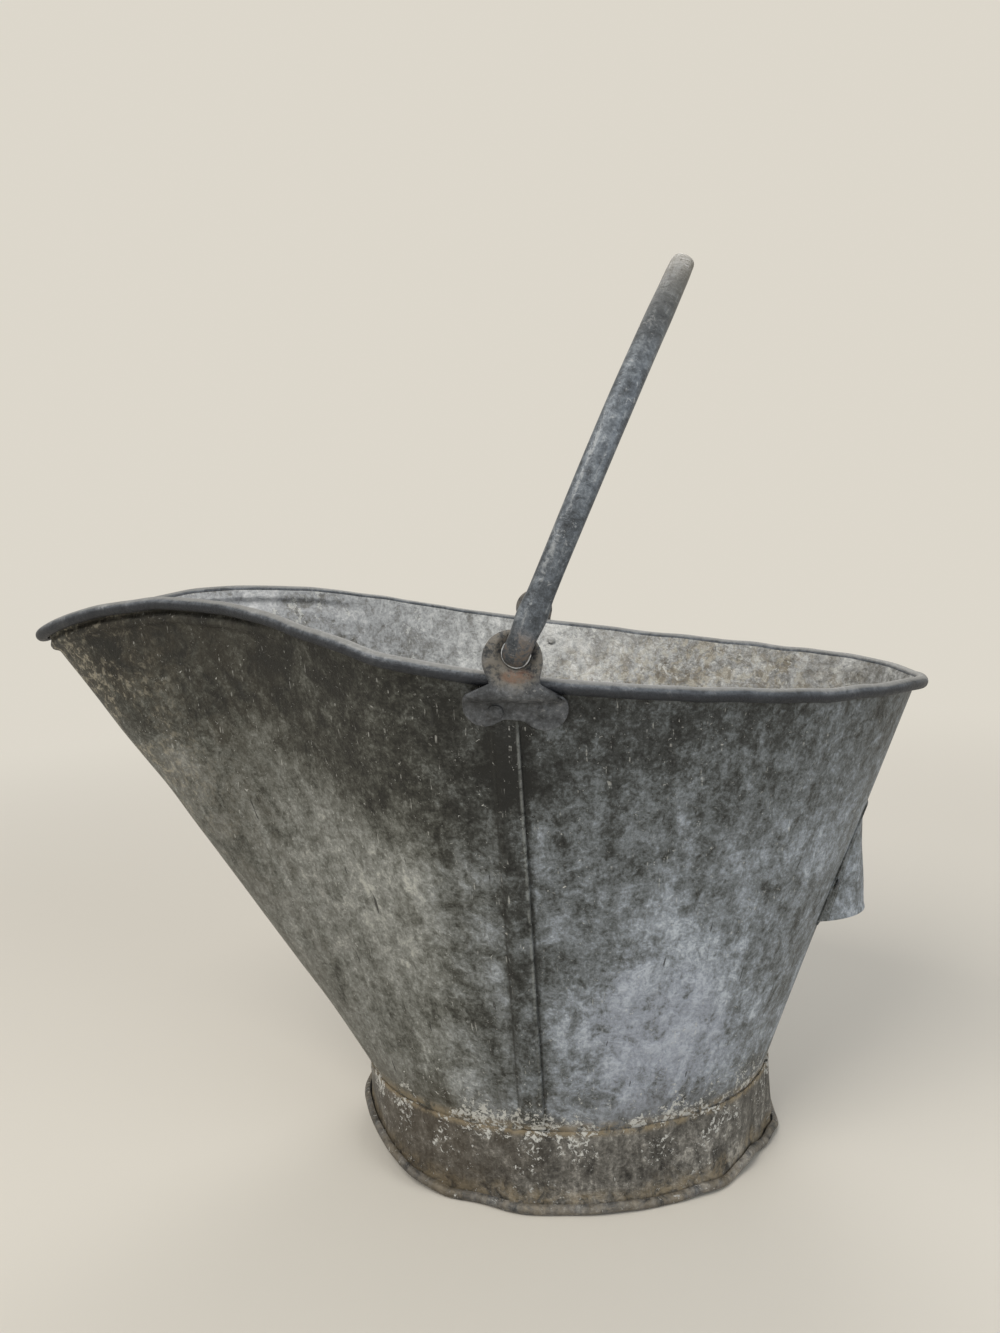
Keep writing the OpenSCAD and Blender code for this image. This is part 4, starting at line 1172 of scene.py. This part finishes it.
def floor():
    """A pale floor that takes the object's shadow and turns into the backdrop further off."""
    mesh = bpy.data.meshes.new("floor")
    corners = [(x * FLOOR_REACH, y * FLOOR_REACH, 0) for x, y in ((-1, -1), (1, -1), (1, 1), (-1, 1))]
    mesh.from_pydata(corners, [], [(0, 1, 2, 3)])
    plane = add_object("floor", mesh)
    m = Shade("pale_floor", 0.6, 0)
    m.put(m.shader.inputs["Base Color"], (0.6, 0.565, 0.5, 1))
    far = m.add("ShaderNodeVectorMath", m.place, operation="LENGTH").outputs["Value"]
    glow = m.add("ShaderNodeEmission", BACKDROP, 1.0)
    share = m.times(m.ramp(far, 0.45, 1.5), seen_directly(m.tree))
    both = m.add("ShaderNodeMixShader", share, m.shader.outputs[0], glow.outputs[0])
    m.put(m.tree.nodes["Material Output"].inputs["Surface"], both.outputs[0])
    mesh.materials.append(m.material)


def lamp(name, place, aim, size, power, colour):
    data = bpy.data.lights.new(name, "AREA")
    data.size = size
    data.energy = power
    data.color = colour
    light = add_object(name, data)
    light.location = place
    light.rotation_euler = (Vector(aim) - Vector(place)).to_track_quat("-Z", "Y").to_euler()


def world():
    sky = bpy.data.worlds.new("studio")
    sky.use_nodes = True
    nodes, links = sky.node_tree.nodes, sky.node_tree.links
    light = nodes["Background"]
    light.inputs["Color"].default_value = (0.95, 0.97, 1.0, 1)
    light.inputs["Strength"].default_value = 0.45
    wall = nodes.new("ShaderNodeBackground")
    wall.inputs["Color"].default_value = BACKDROP
    both = nodes.new("ShaderNodeMixShader")
    links.new(seen_directly(sky.node_tree), both.inputs[0])
    links.new(light.outputs[0], both.inputs[1])
    links.new(wall.outputs[0], both.inputs[2])
    links.new(both.outputs[0], nodes["World Output"].inputs["Surface"])
    bpy.context.scene.world = sky


def camera():
    data = bpy.data.cameras.new("view")
    data.sensor_fit = "HORIZONTAL"
    data.sensor_width = SENSOR
    data.lens = LENS
    data.clip_start = 0.01
    view = add_object("view", data)
    stand = Matrix.Translation(CAMERA_AT)
    for angle, axis in ((CAMERA_YAW, "Z"), (90 + CAMERA_PITCH, "X"), (-CAMERA_ROLL, "Z")):
        stand = stand @ Matrix.Rotation(math.radians(angle), 4, axis)
    view.matrix_world = stand
    bpy.context.scene.camera = view


floor()
world()
camera()
lamp("key", (-0.9, -1.3, 1.9), (0, 0, 0.2), 1.3, 42, (1, 0.97, 0.92))
lamp("fill", (1.5, -1.2, 0.9), (0, 0, 0.15), 1.2, 14, (0.9, 0.95, 1))
lamp("back", (0.3, 1.6, 1.7), (0, 0, 0.2), 1.2, 12, (1, 0.98, 0.95))

bpy.context.scene.view_settings.view_transform = "Standard"
